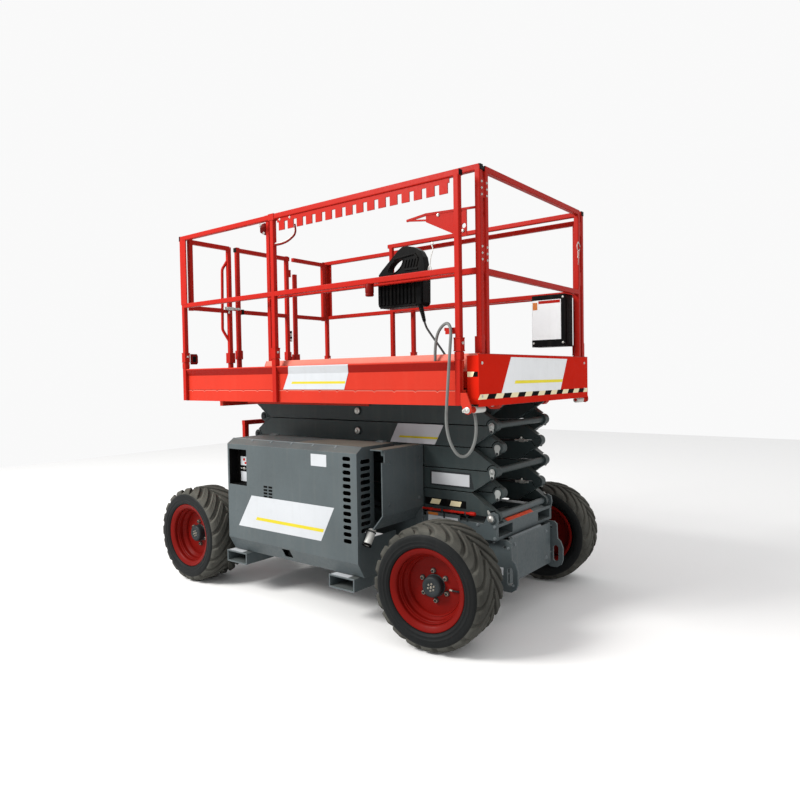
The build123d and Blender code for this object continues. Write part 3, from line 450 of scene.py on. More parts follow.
def lug(bm, ax, s, side, a0, flip):
    """One bar of the tread: from the middle of the crown out over the shoulder."""
    rows = [(0.004, 0.3296, 0.298), (0.020, 0.3298, 0.298), (0.040, 0.3298, 0.298), (0.062, 0.3298, 0.298), (0.086, 0.3296, 0.298),
            (0.108, 0.3276, 0.298), (0.123, 0.3235, 0.296), (0.134, 0.3175, 0.294), (0.1400, 0.3095, 0.291), (0.1428, 0.3010, 0.289)]
    rings = []
    for i, (w, rt, rb) in enumerate(rows):
        t = w / 0.143
        a = a0 + math.radians(30.0) * (1 - t) ** 1.3
        half = (0.0275 + 0.0065 * t) / 0.33
        if i == 0:
            half *= 0.55
        elif i == 1:
            half *= 0.85
        if i == len(rows) - 1:
            half *= 0.85
        ring = []
        for r, h in ((rb - 0.004, 1.28), (rt - 0.006, 1.05), (rt, 0.86), (rt, -0.86), (rt - 0.006, -1.05), (rb - 0.004, -1.28)):
            ang = a + half * h
            ring.append(bm.verts.new((ax + r * math.cos(ang), s * WHEEL_Y + side * s * w, TYRE_R + r * math.sin(ang))))
        rings.append(ring)
    for a, b in zip(rings, rings[1:]):
        for k in range(5):
            bm.faces.new([a[k], a[k + 1], b[k + 1], b[k]])
        bm.faces.new([a[5], a[0], b[0], b[5]])
    bm.faces.new(rings[0])
    bm.faces.new(rings[-1])


for corner, ax, s in CORNERS:
    wheel = "wheel_" + corner
    # carcass: sidewalls with moulded rings, crown under the lugs
    bm = bmesh.new()
    prof = [(0.2133, 0.8455), (0.221, 0.8485), (0.2212, 0.860), (0.2235, 0.8655), (0.228, 0.8685),
            (0.233, 0.8700), (0.2345, 0.8722), (0.2375, 0.8722), (0.239, 0.8708), (0.245, 0.8722), (0.2525, 0.8742),
            (0.254, 0.8756), (0.2565, 0.8756), (0.258, 0.8745), (0.266, 0.8752), (0.275, 0.8752), (0.2845, 0.8735), (0.2925, 0.8675),
            (0.3005, 0.857), (0.3060, 0.842), (0.3125, 0.810), (0.3145, 0.770), (0.3150, 0.725), (0.3145, 0.680), (0.3125, 0.640),
            (0.3060, 0.608), (0.3005, 0.593), (0.2925, 0.5825), (0.2845, 0.5765), (0.275, 0.5755), (0.258, 0.5765), (0.245, 0.5795),
            (0.235, 0.588), (0.222, 0.600), (0.2133, 0.6145)]
    prof = [(r, y - WHEEL_Y) for r, y in prof]
    rings = lathe(bm, (ax, s * WHEEL_Y, TYRE_R), (0, s, 0), prof, 96, 0)
    for i in range(96):
        j = (i + 1) % 96
        bm.faces.new([rings[-1][i], rings[0][i], rings[0][j], rings[-1][j]])
    for f in bm.faces:
        c = f.calc_center_median()
        rr = math.hypot(c.x - ax, c.z - TYRE_R)
        f.material_index = 1 if rr > 0.2955 else 0
    steer(bm, corner, s)
    make("tyre_carcass_" + corner, bm, [SIDEWALL, TREAD], wheel, "rubber_tyre", replaces=("tyre_" + corner,))
    bm = bmesh.new()
    n = 20
    for i in range(n):
        lug(bm, ax, s, 1, 2 * math.pi * i / n, 0)
        lug(bm, ax, s, -1, 2 * math.pi * (i + 0.5) / n, 0)
    steer(bm, corner, s)
    make("tyre_lugs_" + corner, bm, TREAD, wheel, "rubber_tyre", bevel=0.0025, segs=1)
    # hub cap, six nuts on studs, valve
    bm = bmesh.new()
    lathe(bm, (ax, 0, TYRE_R), (0, s, 0), [(0.0568, 0.7585), (0.0568, 0.790), (0.0552, 0.7965), (0.0520, 0.8010), (0.0470, 0.8036), (0.040, 0.8045),
                                           (0.0300, 0.8040), (0.0285, 0.8028), (0.0, 0.8028)], 40, 0)
    lathe(bm, (ax, 0, TYRE_R), (0, s, 0), [(0.0610, 0.7570), (0.0610, 0.7598), (0.0590, 0.7612), (0.0560, 0.7615)], 40, 0)
    for k in range(6):
        a = math.radians(20 + 60 * k)
        bolt(bm, (ax + 0.0185 * math.cos(a), s * 0.8026, TYRE_R + 0.0185 * math.sin(a)), (0, s, 0), 0.0036, 0.004, 1)
    bolt(bm, (ax, s * 0.8026, TYRE_R), (0, s, 0), 0.0048, 0.0045, 1)
    steer(bm, corner, s)
    make("hub_cap_" + corner, bm, [HUB, NUT], wheel, "cast_dark")
    bm = bmesh.new()
    for k in range(6):
        a = math.radians(95 + 60 * k)
        at = (ax + 0.0790 * math.cos(a), s * 0.7575, TYRE_R + 0.0790 * math.sin(a))
        lathe(bm, at, (0, s, 0), [(0.0150, 0), (0.0150, 0.002), (0.0138, 0.0032), (0.0115, 0.0034)], 24, 0)
        lathe(bm, at, (0, s, 0), [(0.0122, 0.002), (0.0122, 0.0125), (0.0108, 0.0145), (0.0070, 0.0147)], 6, 1, False, 0.3 * k)
        lathe(bm, at, (0, s, 0), [(0.0062, 0.010), (0.0062, 0.0192), (0.0052, 0.0204), (0.0, 0.0204)], 16, 0)
    a = math.radians(-5)
    d = Vector((math.cos(a), 0, math.sin(a)))
    base = Vector((ax, s * 0.7665, TYRE_R))
    pipe(bm, [base + d * 0.145 + Vector((0, -s * 0.006, 0)), base + d * 0.130, base + d * 0.108 + Vector((0, s * 0.003, 0))], 0.0042, 12, 0)
    lathe(bm, base + d * 0.108 + Vector((0, s * 0.003, 0)), -d, [(0.0055, -0.001), (0.0055, 0.014), (0.0045, 0.0155), (0, 0.0155)], 12, 1)
    steer(bm, corner, s)
    make("wheel_nuts_" + corner, bm, [HUB, NUT], wheel, "cast_dark")
    # welded collar and paint drip ring inside the rim, bead edge
    bm = bmesh.new()
    lathe(bm, (ax, 0, TYRE_R), (0, s, 0), [(0.1535, 0.7580), (0.1560, 0.7625), (0.1585, 0.7660), (0.1600, 0.7700), (0.1620, 0.7755), (0.1590, 0.7790),
                                           (0.1560, 0.7765), (0.1528, 0.7690), (0.1500, 0.7605), (0.1500, 0.7580)], 72, 0)
    lathe(bm, (ax, 0, TYRE_R), (0, s, 0), [(0.1860, 0.8420), (0.1885, 0.8475), (0.1950, 0.8518), (0.2040, 0.8560), (0.2110, 0.8592), (0.2155, 0.8606),
                                           (0.2188, 0.8596), (0.2202, 0.8568), (0.2190, 0.8530), (0.2160, 0.8530)], 96, 0)
    lathe(bm, (ax, 0, TYRE_R), (0, s, 0), [(0.1855, 0.8240), (0.1835, 0.8275), (0.1812, 0.8255), (0.1790, 0.8195), (0.1765, 0.8160), (0.1790, 0.8120)], 96, 0)
    steer(bm, corner, s)
    make("rim_weld_" + corner, bm, RIMRED, wheel, "rim_red")


# --------------------------------------------------- blank plates and films
def strip(bm, prof, left, right, push, mi=0):
    """Film over a folded sheet: prof is (y, z) down the face, left and right give x at a height."""
    for (y0, z0), (y1, z1) in zip(prof, prof[1:]):
        slab(bm, [(left(z0), y0, z0), (right(z0), y0, z0), (right(z1), y1, z1), (left(z1), y1, z1)], push, mi)


def between(z_top, a, z_bot, b):
    return lambda z: a + (b - a) * (z_top - z) / (z_top - z_bot)


# side toe board: a slanted blank white plate with a yellow bar
bm = bmesh.new()
FOLD = [(-0.7560, 1.5140), (-0.7560, 1.5074), (-0.7362, 1.4648), (-0.7358, 1.3660)]
strip(bm, FOLD, between(1.511, -0.053, 1.366, -0.126), between(1.511, 0.454, 1.366, 0.403), (0, -0.0007, 0), 0)
strip(bm, [(-0.7366, 1.4150), (-0.7366, 1.4010)], between(1.511, 0.009, 1.366, -0.068), between(1.511, 0.450, 1.366, 0.398), (0, -0.0004, 0), 1)
make("side_plate_blank", bm, [WHITE, YELLOW], "platform", "platform_red")
bm = bmesh.new()
slab(bm, [(1.3060, -0.366, 1.5350), (1.3060, 0.374, 1.5320), (1.3060, 0.272, 1.3400), (1.3060, -0.475, 1.3400)], (0.0007, 0, 0), 0)
slab(bm, [(1.3067, -0.318, 1.4060), (1.3067, 0.303, 1.4040), (1.3067, 0.294, 1.3870), (1.3067, -0.328, 1.3885)], (0.0004, 0, 0), 1)
make("front_plate_blank", bm, [WHITE_SHADE_LIFT, YELLOW_SHADE_LIFT], "extension", "platform_red")
bm = bmesh.new()
slab(bm, [(-0.371, -0.8102, 0.672), (0.375, -0.8102, 0.674), (0.263, -0.8102, 0.463), (-0.508, -0.8102, 0.459)], (0, -0.0007, 0), 0)
slab(bm, [(-0.320, -0.8109, 0.5360), (0.290, -0.8109, 0.5370), (0.280, -0.8109, 0.5170), (-0.331, -0.8109, 0.5160)], (0, -0.0004, 0), 1)
slab(bm, [(0.188, -0.8102, 0.982), (0.318, -0.8102, 0.982), (0.318, -0.8102, 0.910), (0.188, -0.8102, 0.910)], (0, -0.0006, 0), 0)
make("cover_plate_blank_right", bm, [WHITE, YELLOW], "tray_right_body", "chassis_grey")
bm = bmesh.new()
slab(bm, [(-0.371, 0.8102, 0.672), (0.375, 0.8102, 0.674), (0.490, 0.8102, 0.463), (-0.270, 0.8102, 0.459)], (0, 0.0007, 0), 0)
slab(bm, [(-0.300, 0.8109, 0.5360), (0.400, 0.8109, 0.5370), (0.411, 0.8109, 0.5170), (-0.290, 0.8109, 0.5160)], (0, 0.0004, 0), 1)
make("cover_plate_blank_left", bm, [WHITE, YELLOW], "tray_left_body", "chassis_grey")
bm = bmesh.new()
slab(bm, [(0.486, -0.3352, 1.1440), (0.833, -0.3352, 1.1435), (0.768, -0.3352, 1.0235), (0.421, -0.3352, 1.0235)], (0, -0.0007, 0), 0)
slab(bm, [(0.500, -0.3359, 1.0680), (0.792, -0.3359, 1.0680), (0.784, -0.3359, 1.0550), (0.492, -0.3359, 1.0550)], (0, -0.0004, 0), 1)
make("arm_plate_blank", bm, [WHITE, YELLOW], "outer_4", "arm_grey")


# ------------------------------------------------------------ covers, trays
def tabs(bm, s):
    """Small folded ticks along the bend of the cover's top."""
    for x in (-0.40, -0.21, -0.02, 0.17, 0.36):
        slab(bm, [(x - 0.009, s * 0.7625, 1.0337), (x + 0.009, s * 0.7625, 1.0337), (x + 0.005, s * 0.7800, 1.0215), (x - 0.005, s * 0.7800, 1.0215)], (0, s * 0.0012, 0.0020))


for side, s in (("right", -1), ("left", 1)):
    body = "tray_%s_body" % side
    # small vent: two columns of punched louvres, drawn as black film on the cover: the black is painted shade of the
    # openings
    bm = bmesh.new()
    for i in range(2):
        for k in range(4):
            x0, z0 = -0.250 + i * 0.047, 0.742 - k * 0.0210
            slab(bm, [(x0, s * 0.8102, z0 - 0.0070), (x0 + 0.036, s * 0.8102, z0 - 0.0070), (x0 + 0.036, s * 0.8102, z0 + 0.0060), (x0, s * 0.8102, z0 + 0.0060)], (0, s * 0.0004, 0), 0)
    make("cover_vent_" + side, bm, [BLACK, GREY], body, "chassis_grey")
    # rolled edge of the top bend with its ticks
    # The rolled edge and its ticks are in the paler grey: a painted highlight along the lit bend.
    bm = bmesh.new()
    tabs(bm, s)
    pipe(bm, [(-0.612, s * 0.7602, 1.0345), (0.554, s * 0.7602, 1.0345)], 0.0028, 8)
    make("cover_edge_" + side, bm, GREYEDGE, body, "chassis_grey")
    # what shows behind the slots: radiator core in its shroud
    bm = bmesh.new()
    block(bm, (0.425, s * 0.744, 0.455), (0.540, s * 0.750, 1.000))
    for i in range(46):
        x0 = 0.428 + i * 0.00245
        block(bm, (x0, s * 0.750, 0.462), (x0 + 0.0011, s * 0.7525, 0.992))
    block(bm, (0.421, s * 0.742, 0.450), (0.427, s * 0.770, 1.004))
    block(bm, (0.538, s * 0.742, 0.450), (0.543, s * 0.770, 1.004))
    make("radiator_core_" + side, bm, BLACK, body, "cast_dark")
    # recessed paddle latch in the lower slope
    bm = bmesh.new()
    block(bm, (-0.094, s * 0.7525, 0.306), (-0.023, s * 0.7560, 0.361))
    slab(bm, [(-0.088, s * 0.7565, 0.352), (-0.046, s * 0.7565, 0.352), (-0.046, s * 0.7565, 0.316), (-0.088, s * 0.7565, 0.316)], (0, s * 0.006, 0))
    lathe(bm, (-0.035, s * 0.7560, 0.333), (0, s, 0), [(0.0085, 0), (0.0085, 0.004), (0.007, 0.005), (0.0, 0.005)], 20)
    make("tray_latch_" + side, bm, PLASTIC, body, "black_plastic", bevel=0.0012)
    # cover hinges and bolts on the top edge
    bm = bmesh.new()
    for x in (-0.52, 0.46):
        block(bm, (x - 0.035, s * 0.4640, 1.0352), (x + 0.035, s * 0.4960, 1.0378))
        lathe(bm, (x - 0.035, s * 0.4620, 1.0388), (1, 0, 0), [(0, 0), (0.0055, 0), (0.0055, 0.070), (0, 0.070)], 14)
        for dx in (-0.022, 0.022):
            bolt(bm, (x + dx, s * 0.482, 1.0376), (0, 0, 1), 0.0048, 0.004)
    make("cover_hinges_" + side, bm, GREY, body, "chassis_grey")
    # engine or tank details inside the tray, seen through the open end
    bm = bmesh.new()
    if s < 0:
        for i in range(9):
            block(bm, (-0.300 + i * 0.028, -0.748, 0.9005), (-0.290 + i * 0.028, -0.520, 0.918))
        lathe(bm, (0.331, -0.630, 0.700), (1, 0, 0), [(0.090, 0), (0.090, 0.020), (0.075, 0.028), (0.075, 0.034), (0.090, 0.040), (0.090, 0.046), (0.020, 0.046), (0.020, 0.060), (0, 0.060)], 36)
        lathe(bm, (0.331, -0.560, 0.520), (1, 0, 0), [(0.052, 0), (0.052, 0.040), (0.018, 0.040), (0.018, 0.052), (0, 0.052)], 28)
        lathe(bm, (0.200, -0.640, 0.9005), (0, 0, 1), [(0.055, 0), (0.055, 0.050), (0.045, 0.062), (0, 0.062)], 28)
        block(bm, (-0.300, -0.4975, 0.420), (0.280, -0.5000, 0.800))
    else:
        lathe(bm, (-0.200, 0.630, 0.8605), (0, 0, 1), [(0.040, 0), (0.040, 0.024), (0.046, 0.024), (0.046, 0.050), (0.040, 0.056), (0, 0.056)], 28)
        lathe(bm, (0.0605, 0.630, 0.520), (1, 0, 0), [(0.030, 0), (0.030, 0.014), (0.022, 0.014), (0.022, 0.040), (0, 0.040)], 24)
        for z in (0.46, 0.74):
            block(bm, (-0.472, 0.497, z), (0.062, 0.4998, z + 0.030))
    make("machinery_" + side, bm, CAST, body, "cast_dark", bevel=0.0015, segs=1)

# ground control panel in its recess
bm = bmesh.new()
block(bm, (-0.5975, -0.7312, 0.7305), (-0.4185, -0.7345, 0.9685), 0)
block(bm, (-0.5978, -0.8085, 0.7305), (-0.5962, -0.7330, 0.9685), 0)
block(bm, (-0.4198, -0.8085, 0.7305), (-0.4182, -0.7330, 0.9685), 0)
block(bm, (-0.5975, -0.8085, 0.9672), (-0.4185, -0.7330, 0.9687), 0)
block(bm, (-0.5975, -0.8085, 0.7303), (-0.4185, -0.7330, 0.7318), 0)
make("control_panel", bm, BLACK, "tray_right_body", "black_plastic", bevel=0.0006, segs=1)
bm = bmesh.new()
block(bm, (-0.5700, -0.7345, 0.8500), (-0.4950, -0.7352, 0.9100), 0)
block(bm, (-0.5700, -0.7345, 0.7420), (-0.4950, -0.7352, 0.8080), 0)
block(bm, (-0.5450, -0.7352, 0.8820), (-0.5230, -0.7358, 0.8980), 1)
block(bm, (-0.5300, -0.7352, 0.8600), (-0.5050, -0.7358, 0.8740), 1)
make("control_panel_films", bm, [WHITE, RED], "tray_right_body", "black_plastic")
bm = bmesh.new()
lathe(bm, (-0.4560, -0.7345, 0.8850), (0, -1, 0), [(0.024, 0), (0.024, 0.005), (0.011, 0.006), (0.011, 0.018), (0.020, 0.022), (0.020, 0.029), (0.015, 0.034), (0, 0.035)], 32, 0)
make("panel_stop_button", bm, RED, "tray_right_body", "platform_red")
bm = bmesh.new()
lathe(bm, (-0.4560, -0.7345, 0.8150), (0, -1, 0), [(0.016, 0), (0.016, 0.006), (0.013, 0.008), (0.013, 0.012), (0, 0.012)], 24, 0)
block(bm, (-0.4575, -0.7465, 0.805), (-0.4545, -0.7600, 0.825), 0)
for x, z in ((-0.533, 0.829), (-0.456, 0.765), (-0.500, 0.829)):
    lathe(bm, (x, -0.7345, z), (0, -1, 0), [(0.009, 0), (0.009, 0.004), (0.006, 0.005), (0.006, 0.009), (0.003, 0.010)], 18, 0)
    pipe(bm, [(x, -0.743, z), (x, -0.762, z + 0.006)], 0.0028, 10, 0)
make("panel_switches", bm, ZINC, "tray_right_body", "galvanised")

# ------------------------------------------------------- chassis and guards
for side, s in (("right", -1), ("left", 1)):
    # rolled top edge, bolts and ribs of the mudguard
    bm = bmesh.new()
    block(bm, (0.6898, s * 0.372, 1.0165), (0.6925, s * 0.7135, 1.0235))
    for z in (0.705, 0.945):
        for y in (0.395, 0.680):
            bolt(bm, (0.6901, s * y, z), (1, 0, 0), 0.0075, 0.005)
    for y in (0.465, 0.560, 0.655):
        block(bm, (0.6100, s * (y - 0.0015), 0.9780), (0.6835, s * (y + 0.0015), 1.0178))
    make("mudguard_edge_" + side, bm, GREY, "chassis", "chassis_grey", bevel=0.0008, segs=1)
    # fork pockets: welded collars at their mouths, and a pale white film over their tops
    bm = bmesh.new()
    for x in (-0.541, 0.420):
        for a, b in (((x - 0.0995, s * 0.8040, 0.2735), (x + 0.0995, s * 0.8090, 0.2758)), ((x - 0.0995, s * 0.8040, 0.1982), (x + 0.0995, s * 0.8090, 0.2005)),
                     ((x - 0.1008, s * 0.8040, 0.1982), (x - 0.0985, s * 0.8090, 0.2758)), ((x + 0.0985, s * 0.8040, 0.1982), (x + 0.1008, s * 0.8090, 0.2758))):
            block(bm, a, b)
    make("pocket_mouths_" + side, bm, GREYEDGE, "chassis", "chassis_grey", bevel=0.0006, segs=1)
    bm = bmesh.new()
    for x in (-0.541, 0.420):
        slab(bm, [(x - 0.090, s * 0.800, 0.2741), (x + 0.045, s * 0.800, 0.2741), (x + 0.045, s * 0.735, 0.2741), (x - 0.090, s * 0.735, 0.2741)], (0, 0, 0.0006))
    make("pocket_films_" + side, bm, WHITE, "chassis", "chassis_grey")
    # bolts on the tie-down plates and on the end plates of the front beam
    bm = bmesh.new()
    for x, z in ((1.085, 0.478), (1.150, 0.478), (1.245, 0.455), (1.272, 0.250)):
        bolt(bm, (x, s * 0.3070, z), (0, s, 0), 0.0065, 0.005)
    for x, z in ((1.075, 0.512), (1.075, 0.578), (1.187, 0.512), (1.187, 0.578)):
        bolt(bm, (x, s * 0.3552, z), (0, s, 0), 0.0070, 0.006)
    for x in (-1.12, -0.95, -0.30, -0.05, 0.30, 0.62, 0.86):
        bolt(bm, (x, s * 0.3552, 0.500), (0, s, 0), 0.0085, 0.006)
    make("frame_bolts_" + side, bm, GREYEDGE, "chassis", "chassis_grey")
    # pin retainers of the lowest pins
    bm = bmesh.new()
    lathe(bm, (1.165, s * 0.3655, 0.625), (0, s, 0), [(0.0200, 0), (0.0200, 0.0030), (0.012, 0.0040), (0.011, 0.0065), (0, 0.0065)], 28)
    slab(bm, [(1.140, s * 0.3558, 0.668), (1.150, s * 0.3558, 0.668), (1.170, s * 0.3558, 0.640), (1.150, s * 0.3558, 0.620)], (0, s * 0.0035, 0))
    make("pin_retainers_" + side, bm, ZINC, "chassis", "galvanised")

# settled dust: on the mudguard shelves and the front half of the covers' tops
for side, s in (("right", -1), ("left", 1)):
    bm = bmesh.new()
    slab(bm, [(0.6065, s * 0.362, 1.0242), (0.6890, s * 0.362, 1.0242), (0.6890, s * 0.738, 1.0242), (0.6065, s * 0.738, 1.0242)], (0, 0, 0.0006))
    make("shelf_dust_" + side, bm, DUSTY, "chassis", "chassis_grey")
    bm = bmesh.new()
    slab(bm, [(0.060, s * 0.500, 1.0352), (0.551, s * 0.463, 1.0352), (0.551, s * 0.757, 1.0352), (-0.020, s * 0.757, 1.0352)], (0, 0, 0.0005))
    make("cover_dust_" + side, bm, DUSTY, "tray_%s_body" % side, "chassis_grey")

# blank plates on the right frame rail, pale strip and orange marker strip on the front beam
bm = bmesh.new()
block(bm, (0.715, -0.3553, 0.5550), (0.955, -0.3583, 0.6190), 2)
block(bm, (0.728, -0.3583, 0.6165), (0.800, -0.3588, 0.6010), 0)
block(bm, (0.728, -0.3583, 0.5985), (0.941, -0.3588, 0.5620), 1)
make("rail_plates_blank", bm, [ORANGEFILM, WHITE, GREY], "chassis", "chassis_grey")
bm = bmesh.new()
slab(bm, [(1.1974, -0.225, 0.5905), (1.1974, 0.100, 0.5905), (1.1765, 0.100, 0.6024), (1.1765, -0.225, 0.6024)], (0.0006, 0, 0.0010))
for i in range(26):
    y0 = -0.222 + i * 0.0124
    slab(bm, [(1.1978, y0, 0.5914), (1.1978, y0 + 0.0048, 0.5914), (1.1770, y0 + 0.0088, 0.6034), (1.1770, y0 + 0.0040, 0.6034)], (0.0006, 0, 0.0010))
make("marker_strip", bm, ORANGE, "chassis", "cast_dark")
bm = bmesh.new()
slab(bm, [(1.112, -0.175, 0.5903), (1.148, -0.175, 0.5903), (1.148, 0.020, 0.5903), (1.112, 0.020, 0.5903)], (0, 0, 0.0006))
make("beam_film_blank", bm, WHITE, "chassis", "chassis_grey")
bm = bmesh.new()
slab(bm, [(1.2176, -0.226, 0.5040), (1.2176, 0.150, 0.5040), (1.2295, 0.150, 0.4910), (1.2295, -0.226, 0.4910)], (0.0012, 0, 0.0012))
for y, z in ((-0.205, 0.455), (0.205, 0.455), (-0.205, 0.285), (0.205, 0.285)):
    bolt(bm, (1.2302, y, z), (1, 0, 0), 0.0085, 0.006)
make("guard_edge", bm, GREYEDGE, "chassis", "chassis_grey")
bm = bmesh.new()
block(bm, (1.168, -0.3073, 0.298), (1.212, -0.3080, 0.342))
make("guard_film_blank", bm, WHITE, "chassis", "chassis_grey")

# axle dressing: differential cover bolts, hoses to the drive and the steering cylinder
bm = bmesh.new()
for ax in (AXLE, -AXLE):
    for k in range(10):
        a = 2 * math.pi * k / 10
        d = 1 if ax > 0 else -1
        bolt(bm, (ax + d * 0.1101, 0.078 * math.cos(a), TYRE_R + 0.078 * math.sin(a)), (d, 0, 0), 0.007, 0.006)
    lathe(bm, (ax + (0.110 if ax > 0 else -0.110), 0, TYRE_R), (1 if ax > 0 else -1, 0, 0), [(0.060, 0), (0.056, 0.010), (0.030, 0.016), (0, 0.018)], 28)
make("axle_bolts", bm, CAST, "chassis", "cast_dark")
bm = bmesh.new()
for y, z in ((-0.075, 0.452), (-0.045, 0.452), (0.055, 0.452), (0.090, 0.452)):
    pipe(bm, [(0.880, y, z), (0.560, y * 1.2, z - 0.004), (0.150, y, z + 0.002), (-0.350, y * 0.8, z), (-0.880, y, z - 0.003)], 0.0095, 10)
pipe(bm, [(0.905, 0.080, 0.452), (0.935, 0.115, 0.432), (0.930, 0.135, 0.385), (0.905, 0.150, 0.352)], 0.0085, 10)
pipe(bm, [(0.905, -0.080, 0.452), (0.935, -0.115, 0.432), (0.930, -0.135, 0.385), (0.905, -0.150, 0.352)], 0.0085, 10)
make("chassis_hoses", bm, JACKET_B, "chassis", "cord_black")

# rear: lamp-free cross plate with hatch, ladder treads with grip, tie-down rings
bm = bmesh.new()
for z in (0.320, 0.570, 0.820):
    for i in range(13):
        y0 = -0.150 + i * 0.0245
        block(bm, (-1.263, y0, z + 0.0262), (-1.200, y0 + 0.004, z + 0.0290))
make("ladder_grips", bm, GREYEDGE, "chassis", "platform_red")
bm = bmesh.new()
for y in (-0.32, -0.10, 0.10, 0.32):
    for z in (0.400, 0.580):
        bolt(bm, (-1.1902, y, z), (-1, 0, 0), 0.008, 0.006)
block(bm, (-1.1902, -0.120, 0.430), (-1.1932, 0.120, 0.545))
for y in (-0.105, 0.105):
    for z in (0.442, 0.533):
        bolt(bm, (-1.1930, y, z), (-1, 0, 0), 0.005, 0.004)
for s in (-1, 1):
    pipe(bm, [(-1.192, s * 0.250, 0.470), (-1.225, s * 0.250, 0.462), (-1.236, s * 0.250, 0.430), (-1.225, s * 0.250, 0.398), (-1.192, s * 0.250, 0.390)], 0.008, 10)
make("rear_plate_fittings", bm, GREY, "chassis", "chassis_grey")
# safety prop: thin rod with its knob and lock collar, held by grey clips
bm = bmesh.new()
a, b = Vector((0.700, -0.372, 0.638)), Vector((1.040, -0.372, 0.641))
lathe(bm, a, b - a, [(0, -0.004), (0.0050, -0.0035), (0.0070, 0), (0.0070, 0.332), (0.0105, 0.333), (0.0115, 0.336), (0.0115, 0.366), (0.0100, 0.3695), (0, 0.370)], 20, 0)
for d in (0.060, 0.210):
    lathe(bm, a + (b - a).normalized() * d, b - a, [(0.0070, -0.009), (0.0092, -0.008), (0.0092, 0.008), (0.0070, 0.009)], 18, 0)
for x0, x1, z0, z1, y0 in ((0.838, 0.852, 0.590, 0.6500, -0.3830), (1.000, 1.008, 0.590, 0.6500, -0.3800)):
    block(bm, (x0, -0.3590, z0), (x1, -0.3556, z1), 1)
    block(bm, (x0, y0, 0.6260), (x1, -0.3560, 0.6295), 1)
    block(bm, (x0, y0, 0.6270), (x1, y0 + 0.0030, 0.6480), 1)
    bolt(bm, ((x0 + x1) / 2, -0.3592, 0.6050), (0, -1, 0), 0.0045, 0.004, 1)
make("stowed_prop", bm, [RED, HUB], "chassis", "platform_red", bevel=0.0006, segs=1, replaces=("safety_prop",))
# exhaust tail: leaning out, with a flared mouth
bm = bmesh.new()
a, d = Vector((0.586, -0.712, 0.556)), Vector((0.0, -0.056, -0.084)).normalized()
lathe(bm, a, d, [(0.0195, 0.002), (0.0215, 0.0), (0.0235, 0.002), (0.0235, 0.082), (0.0250, 0.0925), (0.0265, 0.0990), (0.0262, 0.1010), (0.0250, 0.1015), (0.0232, 0.0965), (0.0215, 0.088), (0.0200, 0.078), (0.0195, 0.002)], 32, 0)
lathe(bm, a, d, [(0, 0.072), (0.0199, 0.072), (0.0199, 0.0730), (0, 0.0730)], 24, 1)
lathe(bm, a, d, [(0.0246, 0.0880), (0.0268, 0.0985), (0.0266, 0.1016), (0.0252, 0.1021), (0.0230, 0.0965), (0.0228, 0.0900)], 32, 1)
lathe(bm, a, d, [(0.0235, 0.012), (0.0262, 0.013), (0.0262, 0.021), (0.0235, 0.022)], 32, 2)
block(bm, (0.5570, -0.7420, 0.5260), (0.5700, -0.7140, 0.5500), 2)
make("exhaust_tail", bm, [HEATPAINT, BLACK, CAST], "chassis", "galvanised", replaces=("exhaust_pipe",))

# ------------------------------------------------------------- scissor arms
def teardrop(bm, x, s, y, z):
    """Pale keeper plate: round at the pin, narrowing to a dark bolt below it."""
    pts = []
    for a in range(-20, 201, 20):
        pts.append((x + 0.0175 * math.cos(math.radians(a)), s * y, z + 0.0175 * math.sin(math.radians(a))))
    for a in range(195, 346, 25):
        pts.append((x + 0.0098 * math.cos(math.radians(a)), s * y, z - 0.034 + 0.0098 * math.sin(math.radians(a))))
    slab(bm, pts, (0, s * 0.0032, 0), 1)
    bolt(bm, (x, s * (y + 0.0030), z - 0.034), (0, s, 0), 0.0055, 0.005, 2)


PZ = lambda k: 0.625 + 0.131 * k
PIN_X = 1.165
MID = (1.165 + (1.165 - 2.034 * math.cos(math.asin(0.131 / 2.034)))) / 2
REAR = 1.165 - 2.034 * math.cos(math.asin(0.131 / 2.034))
for k in range(1, 6):
    body = "outer_%d" % k
    low_front = k % 2 == 1
    zl, zh = PZ(k - 1), PZ(k)
    xl, xh = (PIN_X, REAR) if low_front else (REAR, PIN_X)
    bm = bmesh.new()
    for s in (-1, 1):
        # middle pin: cap and bolt
        zm = (zl + zh) / 2
        lathe(bm, (MID, s * 0.3430, zm), (0, s, 0), [(0.0215, 0), (0.0215, 0.0025), (0.017, 0.0040), (0.010, 0.0040)], 28, 0)
        bolt(bm, (MID, s * 0.3465, zm), (0, s, 0), 0.0085, 0.006, 0)
        # pin end with its keeper plate hanging under it
        if k < 5:
            lathe(bm, (xh, s * 0.3400, zh), (0, s, 0), [(0.0150, 0.0025), (0.0150, 0.0040), (0.010, 0.0050), (0.009, 0.0070), (0, 0.0070)], 28, 1 if xh > 0 else 2)
            if xh > 0:
                teardrop(bm, xh, s, 0.3402, zh)
    make("pin_caps_outer_%d" % k, bm, [ZINC, KEEPER, HUB], body, "galvanised")
    # weld beads round the front bevels
    bm = bmesh.new()
    for s in (-1, 1):
        for (x0, z0), (x1, z1) in ((((xl + (0.022 if xl > 0 else -0.022)), zl + 0.024), (xl - (0.140 if xl > 0 else -0.140), zh - 0.003)),
                                   (((xh - (0.022 if xh < 0 else -0.022)), zh - 0.024), (xh + (0.140 if xh < 0 else -0.140), zl + 0.003))):
            xs, zs = x0 + 0.42 * (x1 - x0), z0 + 0.42 * (z1 - z0)
            pipe(bm, [(xs, s * 0.3352, zs), (x1, s * 0.3352, z1)], 0.0022, 8)
    make("weld_beads_outer_%d" % k, bm, ARMEDGE, body, "arm_grey")
